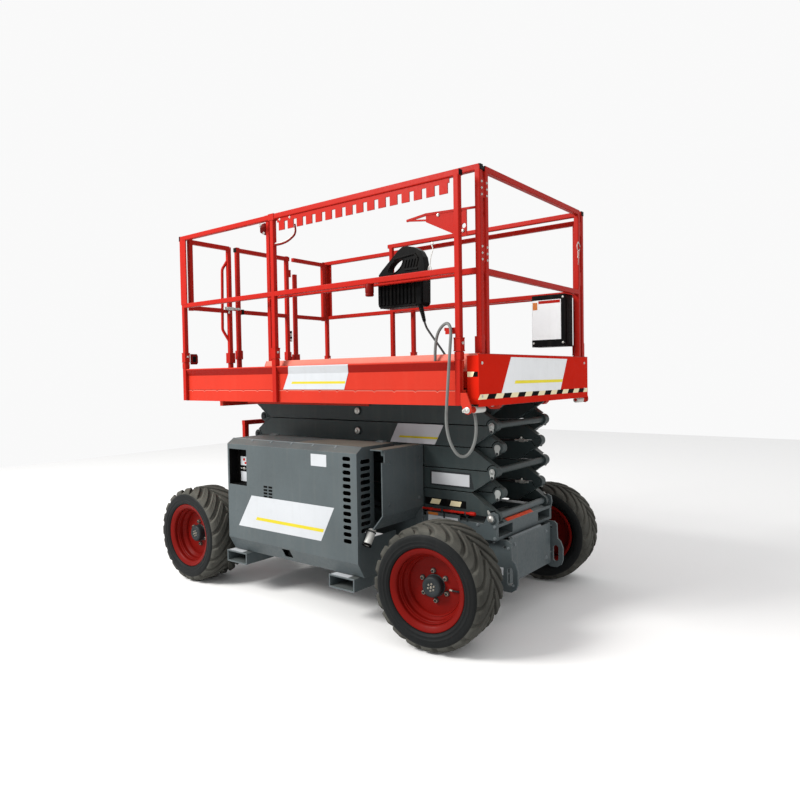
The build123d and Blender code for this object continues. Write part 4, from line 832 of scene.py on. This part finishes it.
for k in range(1, 6):
    body = "inner_%d" % k
    low_front = k % 2 == 0
    zl, zh = PZ(k - 1), PZ(k)
    xl, xh = (PIN_X, REAR) if low_front else (REAR, PIN_X)
    bm = bmesh.new()
    for s in (-1, 1):
        lathe(bm, (xh, s * (0.280 if k < 5 else 0.330), zh), (0, s, 0), [(0.0205, -0.001), (0.0205, 0.0015), (0.0190, 0.0025), (0.012, 0.0032), (0, 0.0032)], 24, 1 if xh > 0 else 2)
        if xh > 0 and k < 5:
            teardrop(bm, xh, s, 0.2802, zh)
    # grease fittings on the cross tube
    for s in (-1, 1):
        if xh < 0 or k == 5:
            d = 1 if xh > 0 else -1
            lathe(bm, (xh + d * 0.0195, s * 0.150, zh), (d, 0, 0), [(0.006, 0), (0.006, 0.004), (0.0035, 0.005), (0.0035, 0.010), (0.0045, 0.011), (0, 0.014)], 12)
    make("pin_ends_inner_%d" % k, bm, [ZINC, KEEPER, HUB], body, "galvanised")

# blank plates on the arms: grey border with white, black band with pale yellow, white sticker
bm = bmesh.new()
slab(bm, [(0.730, -0.3352, 0.8690), (1.020, -0.3352, 0.8690), (1.040, -0.3352, 0.7760), (0.730, -0.3352, 0.7760)], (0, -0.0005, 0), 0)
slab(bm, [(0.742, -0.3357, 0.8570), (1.010, -0.3357, 0.8570), (1.010, -0.3357, 0.7870), (0.742, -0.3357, 0.7870)], (0, -0.0004, 0), 1)
make("arm2_plate_blank", bm, [HUB, WHITE], "outer_2", "arm_grey")
bm = bmesh.new()
slab(bm, [(0.690, -0.3352, 0.7000), (0.985, -0.3352, 0.7000), (0.985, -0.3352, 0.6560), (0.690, -0.3352, 0.6560)], (0, -0.0005, 0), 0)
slab(bm, [(0.742, -0.3357, 0.6940), (0.809, -0.3357, 0.6940), (0.793, -0.3357, 0.6630), (0.727, -0.3357, 0.6630)], (0, -0.0004, 0), 1)
slab(bm, [(0.881, -0.3357, 0.6940), (0.955, -0.3357, 0.6940), (0.943, -0.3357, 0.6630), (0.869, -0.3357, 0.6630)], (0, -0.0004, 0), 1)
make("arm1_band", bm, [BLACK, CREAM], "outer_1", "arm_grey")

# bright hose fittings on the inner sides of the far arms
for k, z, lab in ((2, 0.748, False), (4, 1.016, False)):
    bm = bmesh.new()
    x = 1.060
    block(bm, (x - 0.016, 0.2130, z - 0.011), (x + 0.016, 0.2246, z + 0.011), 0)
    for d in (-1, 1):
        lathe(bm, (x + d * 0.016, 0.2170, z), (d, 0, 0), [(0.0085, -0.001), (0.0085, 0.012), (0.0065, 0.013), (0.0065, 0.018), (0.0080, 0.019), (0.0080, 0.030), (0, 0.030)], 6, 0, False)
    lathe(bm, (x, 0.2170, z + 0.011), (0, 0, 1), [(0.0065, -0.001), (0.0065, 0.010), (0.0050, 0.012), (0, 0.012)], 6, 0, False)
    pipe(bm, [(x - 0.044, 0.2160, z), (x - 0.090, 0.2160, z - 0.004), (x - 0.240, 0.2160, z - 0.002), (x - 0.420, 0.2160, z)], 0.0065, 10, 1)
    make("arm_hose_fitting_%d" % k, bm, [ZINC, JACKET_B], "inner_%d" % k, "galvanised")

# lift cylinders: gland nuts, ports and hose ends; hoses over the stack
for name, k in (("lower", 1), ("upper", 3)):
    bz = PZ(k) - 1.500 * math.sin(math.asin(0.131 / 2.034)) + 0.010
    bx = PIN_X - 1.500
    ex, ez = PIN_X - 0.340, PZ(k) + 0.030
    L = math.hypot(ex - bx, ez - bz)
    u = Vector(((ex - bx) / L, 0, (ez - bz) / L))
    n = Vector((-u.z, 0, u.x))
    base = Vector((bx, 0, bz))
    bm = bmesh.new()
    lathe(bm, base + u * 0.862, u, [(0.0455, 0), (0.0490, 0.002), (0.0490, 0.010), (0.0455, 0.012)], 32)
    lathe(bm, base + u * 0.040, u, [(0.0455, 0), (0.0480, 0.002), (0.0480, 0.012), (0.0455, 0.014)], 32)
    for d in (0.075, 0.845):
        lathe(bm, base + u * d + n * 0.043, n, [(0.013, 0), (0.013, 0.010), (0.010, 0.012), (0.010, 0.018), (0, 0.018)], 6, 0, False)
    pipe(bm, [base + u * 0.075 + n * 0.058, base + u * 0.110 + n * 0.064, base + u * 0.300 + n * 0.0565, base + u * 0.600 + n * 0.0565, base + u * 0.800 + n * 0.062, base + u * 0.845 + n * 0.058], 0.006, 10)
    for d in (0.30, 0.60):
        block(bm, base + u * (d - 0.006) + n * 0.044 + Vector((0, -0.010, 0)), base + u * (d + 0.006) + n * 0.0525 + Vector((0, 0.010, 0)))
    make("cylinder_ports_" + name, bm, CAST, "barrel_" + name, "cast_dark")


# ---------------------------------------------------------------- platform
TOE = -0.7352       # outer face of the right toe board


def sides(name, mats, body, slot, build, **kw):
    """The same small part on both sides of the machine."""
    for side, s in (("right", -1), ("left", 1)):
        bm = bmesh.new()
        build(bm, s)
        make(name + "_" + side, bm, mats, body, slot, **kw)


# seam along the toe board: a dark joint over a pale strip, a painted highlight of the lit edge, dipping at each spot
# weld
def seam(bm, s):
    xs = []
    x = -1.150
    weld = [-1.105 + i * 0.145 for i in range(16)]
    for x0, x1 in ((-1.150, -0.208), (-0.164, 1.190)):
        pts = [(x0, 0.0)]
        for w in weld:
            if x0 + 0.02 < w < x1 - 0.02:
                pts += [(w - 0.011, 0.0), (w, -0.0085), (w + 0.011, 0.0)]
        pts.append((x1, 0.0))
        for (a, za), (b, zb) in zip(pts, pts[1:]):
            for top, low, mi in ((1.3638, 1.3606, 0), (1.3604, 1.3572, 1)):
                slab(bm, [(a, s * 0.7351, top + za), (b, s * 0.7351, top + zb), (b, s * 0.7351, low + zb), (a, s * 0.7351, low + za)], (0, s * 0.0008, 0), mi)


sides("toe_seam", [RIMRED, FADED_AND_LIT], "platform", "platform_red", seam)


# sloping tops of the extension's side boards, seen over the toe boards, in a paler red: painted highlight of their lit
# faces, with some sun fade
def bleached_and_lit(bm, s):
    slab(bm, [(-0.350, s * 0.6903, 1.5205), (1.296, s * 0.6903, 1.5205), (1.296, s * 0.6766, 1.5518), (-0.350, s * 0.6766, 1.5518)], (0, s * 0.0006, 0.0003))
    slab(bm, [(-0.350, s * 0.6903, 1.4600), (1.230, s * 0.6903, 1.4600), (1.230, s * 0.6903, 1.5205), (-0.350, s * 0.6903, 1.5205)], (0, s * 0.0006, 0))


sides("extension_board_top", FADED_AND_LIT, "extension", "platform_red", bleached_and_lit)
# Inner face of the far extension board in the same paler red: painted highlight of the lit face, with some fade.
bm = bmesh.new()
slab(bm, [(-0.350, 0.6858, 1.3900), (1.292, 0.6858, 1.3900), (1.292, 0.6858, 1.5170), (-0.350, 0.6858, 1.5170)], (0, -0.0006, 0))
make("extension_board_inner", bm, FADED_AND_LIT, "extension", "platform_red")


# undersides of the flared tops: a darker red film, painted shade under the overhang
def underside(bm, s):
    for x0, x1 in ((-1.148, -0.208), (-0.164, 1.191)):
        slab(bm, [(x0, s * 0.7354, 1.4652), (x1, s * 0.7354, 1.4652), (x1, s * 0.7551, 1.5074), (x0, s * 0.7551, 1.5074)], (0, s * 0.0004, -0.0002))


sides("toe_underside_shade", SHADED, "platform", "platform_red", underside)


# feet of the rail posts: folding knuckle with a pin through it
def feet(bm, s):
    for x in (-1.170, -0.186, 1.213):
        for d in (-1, 1):
            lathe(bm, (x + d * 0.0203, s * 0.7410, 1.6040), (d, 0, 0), [(0.0085, -0.001), (0.0085, 0.0050), (0.0068, 0.0062), (0, 0.0062)], 6, 0, False)


sides("post_foot_bolts", ZINC, "platform", "galvanised", feet)


def knuckles(bm, s):
    for x in (-1.170, -0.186, 1.213):
        # rolled collars above and below the joint of the socket
        for z in (1.5655, 1.6300):
            for a, b in (((x - 0.0218, 0.7192), (x + 0.0218, 0.7212)), ((x - 0.0218, 0.7608), (x + 0.0218, 0.7626)), ((x - 0.0218, 0.7200), (x - 0.0198, 0.7620)), ((x + 0.0198, 0.7200), (x + 0.0218, 0.7620))):
                lo, hi = sorted((s * a[1], s * b[1]))
                block(bm, (a[0], lo, z - 0.0030), (b[0], hi, z + 0.0030))
    return


sides("post_knuckles", RED, "platform", "platform_red", knuckles, bevel=0.0008, segs=1)

# black caps in the ends of the top rails
bm = bmesh.new()
for s in (-1, 1):
    block(bm, (-1.1990, s * 0.7215, 2.4470), (-1.1838, s * 0.7575, 2.4830))
    block(bm, (1.2318, s * 0.7262, 2.4512), (1.2362, s * 0.7562, 2.4808))
make("rail_end_caps", bm, PLASTIC, "platform", "black_plastic", bevel=0.002)
bm = bmesh.new()
for s in (-1, 1):
    block(bm, (1.2948, s * 0.6355, 2.4865), (1.3040, s * 0.6645, 2.5155))
    block(bm, (-0.3608, s * 0.6355, 2.4865), (-0.3560, s * 0.6645, 2.5155))
    block(bm, (1.2708, s * 0.6050, 2.4870), (1.2985, s * 0.6125, 2.5150))
make("extension_end_caps", bm, PLASTIC, "extension", "black_plastic", bevel=0.002)

# bolts of the front panel, lynch pin on the far post
bm = bmesh.new()
for z0 in (2.020, 2.350):
    for dz in (0.012, 0.045, 0.078):
        for y in (0.597, 0.648):
            bolt(bm, (1.3006, -y, z0 + dz), (1, 0, 0), 0.0042, 0.0038)
for y, z in ((-0.673, 1.501), (0.648, 1.508), (-0.673, 1.330), (0.648, 1.335)):
    bolt(bm, (1.3060, y, z), (1, 0, 0), 0.0055, 0.004)
make("front_panel_bolts", bm, ZINC, "extension", "galvanised")
bm = bmesh.new()
ring = [(1.3035, 0.575 + 0.024 * math.cos(math.radians(a)), 2.272 + 0.024 * math.sin(math.radians(a))) for a in range(0, 331, 30)]
pipe(bm, ring, 0.0024, 8)
pipe(bm, [(1.3035, 0.570, 2.249), (1.3035, 0.566, 2.223), (1.3040, 0.562, 2.195)], 0.0018, 8)
lathe(bm, (1.3005, 0.575, 2.298), (1, 0, 0), [(0.0075, 0), (0.0075, 0.003), (0.004, 0.004), (0, 0.004)], 14)
for i in range(7):
    a = Vector((1.3035, 0.583 - 0.003 * i, 2.243 - 0.014 * i))
    pipe(bm, [a + Vector((0, 0, 0.006)), a + Vector((0, 0.004, 0)), a + Vector((0, 0, -0.006))], 0.0012, 6)
make("lynch_pin", bm, ZINC, "extension", "galvanised")

# hazard stripes: along the foot of the front board, and a short piece beside the right post
bm = bmesh.new()
pitch, h0, h1, lean = 0.1680, 1.3140, 1.3400, 0.022
y = -0.716
k = 0
while y < 0.676:
    e = min(y + pitch / 2, 0.684)
    slab(bm, [(1.3060, y + lean, h1), (1.3060, e + lean, h1), (1.3060, e, h0), (1.3060, y, h0)] if e + lean < 0.700 else
         [(1.3060, y + lean, h1), (1.3060, 0.700, h1), (1.3060, 0.700, h0), (1.3060, y, h0)], (0.0006, 0, 0), k % 2)
    y = e
    k += 1
    if e >= 0.684:
        break
make("hazard_stripes", bm, [CREAM, BLACK], "extension", "platform_red")
bm = bmesh.new()
slab(bm, [(1.238, -0.7062, 1.4570), (1.280, -0.7062, 1.4570), (1.270, -0.7062, 1.4310), (1.238, -0.7062, 1.4310)], (0, -0.0006, 0), 0)
slab(bm, [(1.280, -0.7062, 1.4570), (1.300, -0.7062, 1.4570), (1.300, -0.7062, 1.4310), (1.270, -0.7062, 1.4310)], (0, -0.0006, 0), 1)
make("hazard_piece", bm, [CREAM, BLACK], "extension", "platform_red")

# lip and gussets of the front board
bm = bmesh.new()
block(bm, (1.2900, -0.7020, 1.5460), (1.3070, 0.7020, 1.5500))
for s in (-1, 1):
    slab(bm, [(1.3010, s * 0.699, 1.5300), (1.2500, s * 0.699, 1.5100), (1.2500, s * 0.699, 1.5070), (1.3010, s * 0.699, 1.5100)], (0, -s * 0.003, 0))
    slab(bm, [(1.3010, s * 0.520, 1.3850), (1.2600, s * 0.520, 1.3850), (1.3010, s * 0.520, 1.4600)], (0, s * 0.004, 0))
    slab(bm, [(1.3010, s * 0.200, 1.3850), (1.2600, s * 0.200, 1.3850), (1.3010, s * 0.200, 1.4600)], (0, s * 0.004, 0))
make("front_board_lip", bm, RED, "extension", "platform_red", bevel=0.0012)

# extension roller brackets: pin keeper, nylon roller
bm = bmesh.new()
for s in (-1, 1):
    lathe(bm, (1.2660, s * 0.7572, 1.2620), (0, s, 0), [(0.0165, 0), (0.0165, 0.0030), (0.0145, 0.0040), (0.0080, 0.0040), (0.0075, 0.0060), (0, 0.0060)], 28, 0)
    slab(bm, [(1.2575, s * 0.7573, 1.2750), (1.2480, s * 0.7573, 1.2720), (1.2370, s * 0.7573, 1.2580), (1.2400, s * 0.7573, 1.2500), (1.2560, s * 0.7573, 1.2480)], (0, s * 0.0030, 0), 0)
    bolt(bm, (1.2440, s * 0.7603, 1.2590), (0, s, 0), 0.0042, 0.004, 0)
    lathe(bm, (1.2660, s * 0.5990, 1.2620), (0, s, 0), [(0.0100, -0.0005), (0.0160, 0), (0.0186, 0.003), (0.0186, 0.096), (0.0160, 0.099), (0.0100, 0.1000)], 32, 1)
make("roller_keepers", bm, [ZINC, NYLON], "platform", "galvanised")

# cable hanger: rolled end, cable saddle
bm = bmesh.new()
pipe(bm, [(1.1360, -0.7520, 1.6700), (1.1360, -0.7520, 1.6860)], 0.0055, 12)
block(bm, (1.1340, -0.7590, 1.6815), (1.1990, -0.7470, 1.6845))
make("cable_hanger", bm, RED, "platform", "platform_red", bevel=0.001)

# toggle below the middle rail, bolts of the latch rack
bm = bmesh.new()
lathe(bm, (0.6155, -0.7400, 1.9615), (0, 0, -1), [(0.0235, 0), (0.0250, 0.003), (0.0250, 0.038), (0.0245, 0.050), (0.0225, 0.0515), (0.0225, 0.0545), (0.0245, 0.056), (0.0240, 0.065), (0.0200, 0.068), (0, 0.068)], 28)
make("rail_toggle", bm, RIMRED, "platform", "platform_red", bevel=0.0)
bm = bmesh.new()
for x in (-0.114, -0.022):
    bolt(bm, (x, -0.7480, 2.4390), (0, -1, 0), 0.0048, 0.0040)
make("rack_bolts", bm, ZINC, "platform", "galvanised")

# lock housing on the extension's right rear post, with bright bolts
bm = bmesh.new()
s = -1
slab(bm, [(-0.4040, s * 0.6340, 2.4640), (-0.3560, s * 0.6340, 2.4700), (-0.3480, s * 0.6340, 2.4000), (-0.3600, s * 0.6340, 2.3900), (-0.4020, s * 0.6340, 2.4120)], (0, s * 0.0320, 0), 0)
lathe(bm, (-0.3790, s * 0.6650, 2.4380), (0, s, 0), [(0.0175, -0.001), (0.0175, 0.0030), (0.0120, 0.0040), (0, 0.0040)], 24, 0)
make("extension_lock", bm, RIMRED, "extension", "platform_red", bevel=0.002)
bm = bmesh.new()
for x, z in ((-0.3960, 2.4560), (-0.3620, 2.4030)):
    bolt(bm, (x, s * 0.6662, z), (0, s, 0), 0.0068, 0.006)
pipe(bm, [(-0.3960, s * 0.6500, 2.4660), (-0.4120, s * 0.6500, 2.4780), (-0.4240, s * 0.6500, 2.4720), (-0.4280, s * 0.6500, 2.4580)], 0.0030, 8)
make("extension_lock_bolts", bm, ZINC, "extension", "galvanised")

# bent release lever from the latch rack down to the middle post: a red rod with a bright one beside it
bm = bmesh.new()
LEVER = [(0.0220, 2.3900), (0.0260, 2.3660), (0.0270, 2.3450), (0.0150, 2.3230), (-0.0200, 2.3040), (-0.0510, 2.2930), (-0.0850, 2.2870), (-0.1200, 2.2845), (-0.1700, 2.2850)]
pipe(bm, [(x, -0.7470, z) for x, z in LEVER], 0.0060, 12, 0)
inner = [(0.0125, 2.3900), (0.0150, 2.3680), (0.0150, 2.3490), (0.0055, 2.3320), (-0.0245, 2.3150), (-0.0535, 2.3045), (-0.0860, 2.2985), (-0.1200, 2.2960), (-0.1700, 2.2965)]
pipe(bm, [(x, -0.7400, z) for x, z in inner], 0.0060, 12, 1)
make("release_lever", bm, [RIMRED, ZINC], "platform", "platform_red")

# snap hook on its wire, hung from the extension's side rail
bm = bmesh.new()
pipe(bm, [(0.9960, -0.6660, 2.1420), (1.0060, -0.6680, 2.1240), (1.0020, -0.6690, 2.1020), (0.9940, -0.6690, 2.0820), (0.9890, -0.6690, 2.0560), (0.9860, -0.6690, 2.0330)], 0.0024, 8)
ring = [(0.9845 + 0.0085 * math.cos(math.radians(a)), -0.6690, 2.0120 + 0.0200 * math.sin(math.radians(a))) for a in range(0, 361, 30)]
pipe(bm, ring, 0.0028, 8)
lathe(bm, (0.9990, -0.6660, 2.1500), (0, -1, 0), [(0.009, -0.002), (0.009, 0.002), (0.005, 0.0035), (0, 0.0035)], 16)
make("snap_hook", bm, ZINC, "extension", "galvanised")

# gate: bright latch across the gap, black caps and sleeve, hinge barrels, kick plate ribs
GX = -1.168
bm = bmesh.new()
block(bm, (-1.1495, -0.3215, 1.9760), (-1.1340, -0.2600, 1.9920), 0)
lathe(bm, (-1.1340, -0.2800, 1.9840), (1, 0, 0), [(0.0085, -0.001), (0.0085, 0.005), (0.006, 0.008), (0, 0.008)], 18, 0)
make("gate_latch", bm, HEATPAINT, "gate_body", "galvanised", bevel=0.001)
bm = bmesh.new()
block(bm, (-1.1440, -0.4150, 1.9700), (-1.1290, -0.3290, 1.9940), 0)
lathe(bm, (-1.1290, -0.3900, 1.9820), (1, 0, 0), [(0.0100, -0.001), (0.0100, 0.004), (0.007, 0.006), (0, 0.006)], 18, 0)
lathe(bm, (-1.1365, -0.3700, 1.9700), (0, 0, -1), [(0.0050, -0.001), (0.0050, 0.014), (0.0085, 0.016), (0.0085, 0.024), (0, 0.025)], 14, 0)
make("gate_keeper", bm, HEATPAINT, "platform", "galvanised", bevel=0.001)
bm = bmesh.new()
for s in (-1, 1):
    block(bm, (GX - 0.0165, s * 0.2768, 2.4335), (GX + 0.0165, s * 0.2812, 2.4665))
block(bm, (GX - 0.0205, -0.2370, 1.9460), (GX + 0.0205, -0.2150, 1.9855))
make("gate_caps", bm, PLASTIC, "gate_body", "black_plastic", bevel=0.0015)
bm = bmesh.new()
for z0 in (1.748,):
    for i in range(4):
        lathe(bm, (GX, 0.292, z0 + i * 0.0235), (0, 0, 1), [(0, 0), (0.0125, 0.0), (0.0132, 0.0015), (0.0132, 0.0195), (0.0125, 0.021), (0, 0.021)], 20, i % 2)
make("gate_hinge_barrels", bm, [ZINC, HUB], "gate_body", "galvanised")
bm = bmesh.new()
for z in (1.430, 1.485):
    block(bm, (GX - 0.0045, -0.245, z), (GX + 0.0045, 0.245, z + 0.006))
make("gate_ribs", bm, RED, "gate_body", "platform_red", bevel=0.001)
# folding knuckles on the gate's own posts
bm = bmesh.new()
for s in (-1, 1):
    block(bm, (GX - 0.0225, s * 0.2360, 1.5900), (GX + 0.0225, s * 0.2795, 1.6600))
make("gate_knuckles", bm, RED, "gate_body", "platform_red", bevel=0.003)
# bracket with a dark pad beside the right rear post
bm = bmesh.new()
slab(bm, [(-1.1500, -0.7180, 1.5480), (-1.1500, -0.6650, 1.5480), (-1.1500, -0.6560, 1.5600), (-1.1500, -0.6560, 1.6120), (-1.1500, -0.6650, 1.6250), (-1.1500, -0.7180, 1.6250)], (0.0060, 0, 0), 0)
block(bm, (-1.1438, -0.7020, 1.5660), (-1.1420, -0.6740, 1.6080), 1)
make("rear_bracket", bm, [RIMRED, PLASTIC], "platform", "platform_red", bevel=0.001)

# decking: raised grip bars over the deck and the extension floor
def grip(name, x0, x1, yy, z, body):
    bm = bmesh.new()
    slab(bm, [(x0, -yy, z), (x1, -yy, z), (x1, yy, z), (x0, yy, z)], (0, 0, 0.0008), 0)
    nx = int((x1 - x0) / 0.052)
    ny = int(2 * yy / 0.052)
    for i in range(nx):
        for j in range(ny):
            cx, cy = x0 + 0.026 + i * 0.052, -yy + 0.026 + j * 0.052
            d = 1 if (i + j) % 2 else -1
            a = Vector((0.013, d * 0.013, 0))
            b = Vector((-d * 0.0028, 0.0028, 0)) if d > 0 else Vector((0.0028, 0.0028, 0))
            b = Vector((-a.y, a.x, 0)).normalized() * 0.0034
            c = Vector((cx, cy, z + 0.0008))
            bot = [bm.verts.new(c + v) for v in (-a, b, a, -b)]
            top = [bm.verts.new(c + v * 0.62 + Vector((0, 0, 0.0016))) for v in (-a, b, a, -b)]
            bm.faces.new(top)
            for q in range(4):
                bm.faces.new([bot[q], bot[(q + 1) % 4], top[(q + 1) % 4], top[q]])
    return make(name, bm, STEEL_TREAD, body, "arm_grey")


grip("deck_grip_plate", -1.176, -0.362, 0.712, 1.3652, "platform")
grip("deck_grip_plate_front", -0.360, 1.190, 0.612, 1.3652, "platform")
grip("extension_grip_plate", -0.352, 1.298, 0.664, 1.3832, "extension")

# document box: blank sheet in its frame, with a lid strap and rivets
bm = bmesh.new()
slab(bm, [(1.0045, 0.4998, 1.9330), (1.2110, 0.4998, 1.9330), (1.2110, 0.4998, 1.6680), (1.0045, 0.4998, 1.6680)], (0, -0.0010, 0), 0)
slab(bm, [(1.0500, 0.4988, 1.9290), (1.2050, 0.4988, 1.9290), (1.2050, 0.4988, 1.9090), (1.0500, 0.4988, 1.9090)], (0, -0.0004, 0), 1)
slab(bm, [(1.0080, 0.4988, 1.9200), (1.0420, 0.4988, 1.9200), (1.0420, 0.4988, 1.8700), (1.0080, 0.4988, 1.8700)], (0, -0.0004, 0), 2)
make("document_sheet_blank", bm, [WHITE_SHADE_LIFT, RED, ORANGEFILM], "extension", "black_plastic")
bm = bmesh.new()
block(bm, (1.0030, 0.4950, 1.6200), (1.2400, 0.4999, 1.6660))
block(bm, (1.2130, 0.4950, 1.6660), (1.2400, 0.4999, 1.9650))
block(bm, (1.0030, 0.4970, 1.9350), (1.2400, 0.4999, 1.9650))
block(bm, (1.2401, 0.5180, 1.6400), (1.2440, 0.5990, 1.9400))
for z in (1.70, 1.78, 1.86):
    block(bm, (1.2440, 0.5250, z), (1.2455, 0.5920, z + 0.004))
block(bm, (1.1180, 0.4940, 1.6205), (1.1210, 0.4950, 1.6655))
make("document_frame", bm, PLASTIC, "extension", "black_plastic", bevel=0.0022)
bm = bmesh.new()
for x, z in ((1.2265, 1.9450), (1.2265, 1.6450), (1.0150, 1.6450)):
    bolt(bm, (x, 0.4948, z), (0, -1, 0), 0.0050, 0.003)
make("document_rivets", bm, ZINC, "extension", "galvanised")

# extension handle: bolts on the latch plate
bm = bmesh.new()
for x, z in ((1.180, 2.296), (1.040, 2.296), (1.195, 2.190)):
    bolt(bm, (x, -0.6655, z), (0, -1, 0), 0.0060, 0.004)
make("handle_bolts", bm, ZINC, "extension", "galvanised")

# ------------------------------------------------------------ platform controls
def prism_hole(bm, outer, inner, y0, y1, mi=0):
    """Plate lying in the XZ plane between y0 and y1, with one hole through it."""
    loops = []
    for y in (y0, y1):
        row = []
        for pts in (outer, inner):
            vs = [bm.verts.new((x, y, z)) for x, z in pts]
            es = [bm.edges.new((vs[i], vs[(i + 1) % len(vs)])) for i in range(len(vs))]
            row.append((vs, es))
        res = bmesh.ops.triangle_fill(bm, edges=row[0][1] + row[1][1], use_beauty=True)
        for f in res["geom"]:
            if isinstance(f, bmesh.types.BMFace):
                f.material_index = mi
        loops.append(row)
    for (va, _), (vb, _) in zip(loops[0], loops[1]):
        for i in range(len(va)):
            j = (i + 1) % len(va)
            f = bm.faces.new([va[i], va[j], vb[j], vb[i]])
            f.material_index = mi


HOOD = [(0.588, 1.9890), (0.579, 2.010), (0.578, 2.030), (0.600, 2.052), (0.678, 2.117), (0.722, 2.154), (0.752, 2.171), (0.790, 2.172),
        (0.840, 2.160), (0.878, 2.136), (0.900, 2.100), (0.909, 2.050), (0.909, 2.000), (0.890, 1.9890)]
HAND = []
for a in range(0, 360, 15):
    u, w = 0.0620 * math.cos(math.radians(a)), 0.0300 * math.sin(math.radians(a))
    c, s_ = math.cos(math.radians(33)), math.sin(math.radians(33))
    HAND.append((0.7050 + u * c - w * s_, 2.067 + u * s_ + w * c))
bm = bmesh.new()
prism_hole(bm, HOOD, HAND, -0.6120, -0.5640)
# body below the rail, with its rounded corners
LOW = [(0.572, 1.9885), (0.572, 1.860), (0.576, 1.846), (0.590, 1.8345), (0.610, 1.832), (0.862, 1.832), (0.876, 1.838), (0.884, 1.852), (0.886, 1.9885)]
slab(bm, [(x, -0.6120, z) for x, z in LOW], (0, 0.0900, 0))
# ten upright ribs on the outer face
for i in range(10):
    x = 0.5930 + i * 0.0268
    slab(bm, [(x - 0.0085, -0.6118, 1.846), (x + 0.0085, -0.6118, 1.846), (x + 0.0060, -0.6195, 1.852), (x - 0.0060, -0.6195, 1.852)], (0, 0, 0.118))
# flat end panel by the cable, foot ledge
block(bm, (0.858, -0.6190, 1.840), (0.885, -0.6110, 1.985))
block(bm, (0.590, -0.6170, 1.8325), (0.850, -0.6110, 1.8420))
# raised rim round the hand hole and the ledge over it
for a, b in zip(HAND, HAND[1:] + HAND[:1]):
    pipe(bm, [(a[0], -0.6125, a[1]), (b[0], -0.6125, b[1])], 0.0040, 6)
slab(bm, [(0.690, -0.6120, 2.112), (0.845, -0.6120, 2.128), (0.868, -0.6120, 2.100), (0.862, -0.6120, 2.094), (0.840, -0.6120, 2.118), (0.692, -0.6120, 2.103)], (0, -0.0075, 0))
# slanted grooves' lands between hand hole and end
for i in range(5):
    x = 0.766 + i * 0.0205
    slab(bm, [(x, -0.6120, 2.052), (x + 0.0085, -0.6120, 2.052), (x + 0.0215, -0.6120, 2.096), (x + 0.0130, -0.6120, 2.096)], (0, -0.0050, 0))
slab(bm, [(0.772, -0.6120, 2.034), (0.862, -0.6120, 2.034), (0.864, -0.6120, 2.044), (0.772, -0.6120, 2.044)], (0, -0.0050, 0))
# lip that hangs it on the middle rail, side cheek
block(bm, (0.640, -0.6345, 1.9660), (0.820, -0.6120, 1.9880))
slab(bm, [(0.8868, -0.605, 1.850), (0.8868, -0.535, 1.850), (0.8868, -0.535, 1.980), (0.8868, -0.605, 1.980)], (0.0030, 0, 0))
# joystick boot and lever behind the hood
lathe(bm, (0.800, -0.5420, 1.9885), (0, 0, 1), [(0.030, 0), (0.026, 0.010), (0.028, 0.014), (0.021, 0.022), (0.023, 0.026), (0.014, 0.036), (0.0075, 0.044), (0.0075, 0.060), (0.014, 0.066), (0.0165, 0.095), (0.012, 0.112), (0, 0.116)], 24)
make("control_box_shell", bm, PLASTIC, "extension", "black_plastic", bevel=0.0022, segs=2, replaces=("control_box",))
bm = bmesh.new()
block(bm, (0.600, -0.5600, 1.9890), (0.760, -0.5240, 1.9905), 0)
lathe(bm, (0.645, -0.5420, 1.9900), (0, 0, 1), [(0.016, 0), (0.016, 0.005), (0.008, 0.006), (0.008, 0.014), (0.015, 0.018), (0.015, 0.024), (0.010, 0.028), (0, 0.028)], 24, 1)
make("control_box_face", bm, [HUB, RED], "extension", "black_plastic")
# ribbed boot where the cable leaves
bm = bmesh.new()
d = Vector((0.024, 0, -0.087)).normalized()
prof = [(0.0150, -0.002), (0.0150, 0.004)]
for i in range(7):
    r = 0.0140 - 0.0006 * i
    prof += [(r, 0.006 + i * 0.0115), (r, 0.0125 + i * 0.0115), (r - 0.0014, 0.0132 + i * 0.0115), (r - 0.0014, 0.0170 + i * 0.0115)]
lathe(bm, Vector((0.872, -0.602, 1.830)), d, prof, 24)
make("control_boot", bm, PLASTIC, "extension", "black_plastic")

# ------------------------------------------------------------------- floor
bm = bmesh.new()
slab(bm, [(-9, -9, 0), (9, -9, 0), (9, 12, 0), (-9, 12, 0)], (0, 0, -0.02))
mesh = bpy.data.meshes.new("floor")
bmesh.ops.recalc_face_normals(bm, faces=bm.faces)
bm.to_mesh(mesh)
bm.free()
floor = bpy.data.objects.new("floor", mesh)
scene.collection.objects.link(floor)
FLOOR = bpy.data.materials.new("pale_floor")
FLOOR.use_nodes = True
fb = FLOOR.node_tree.nodes["Principled BSDF"]
fb.inputs["Base Color"].default_value = (0.80, 0.80, 0.80, 1)
fb.inputs["Roughness"].default_value = 0.9
fb.inputs["Specular IOR Level"].default_value = 0.1
mesh.materials.append(FLOOR)
floor.location = (0, 0, -0.002)
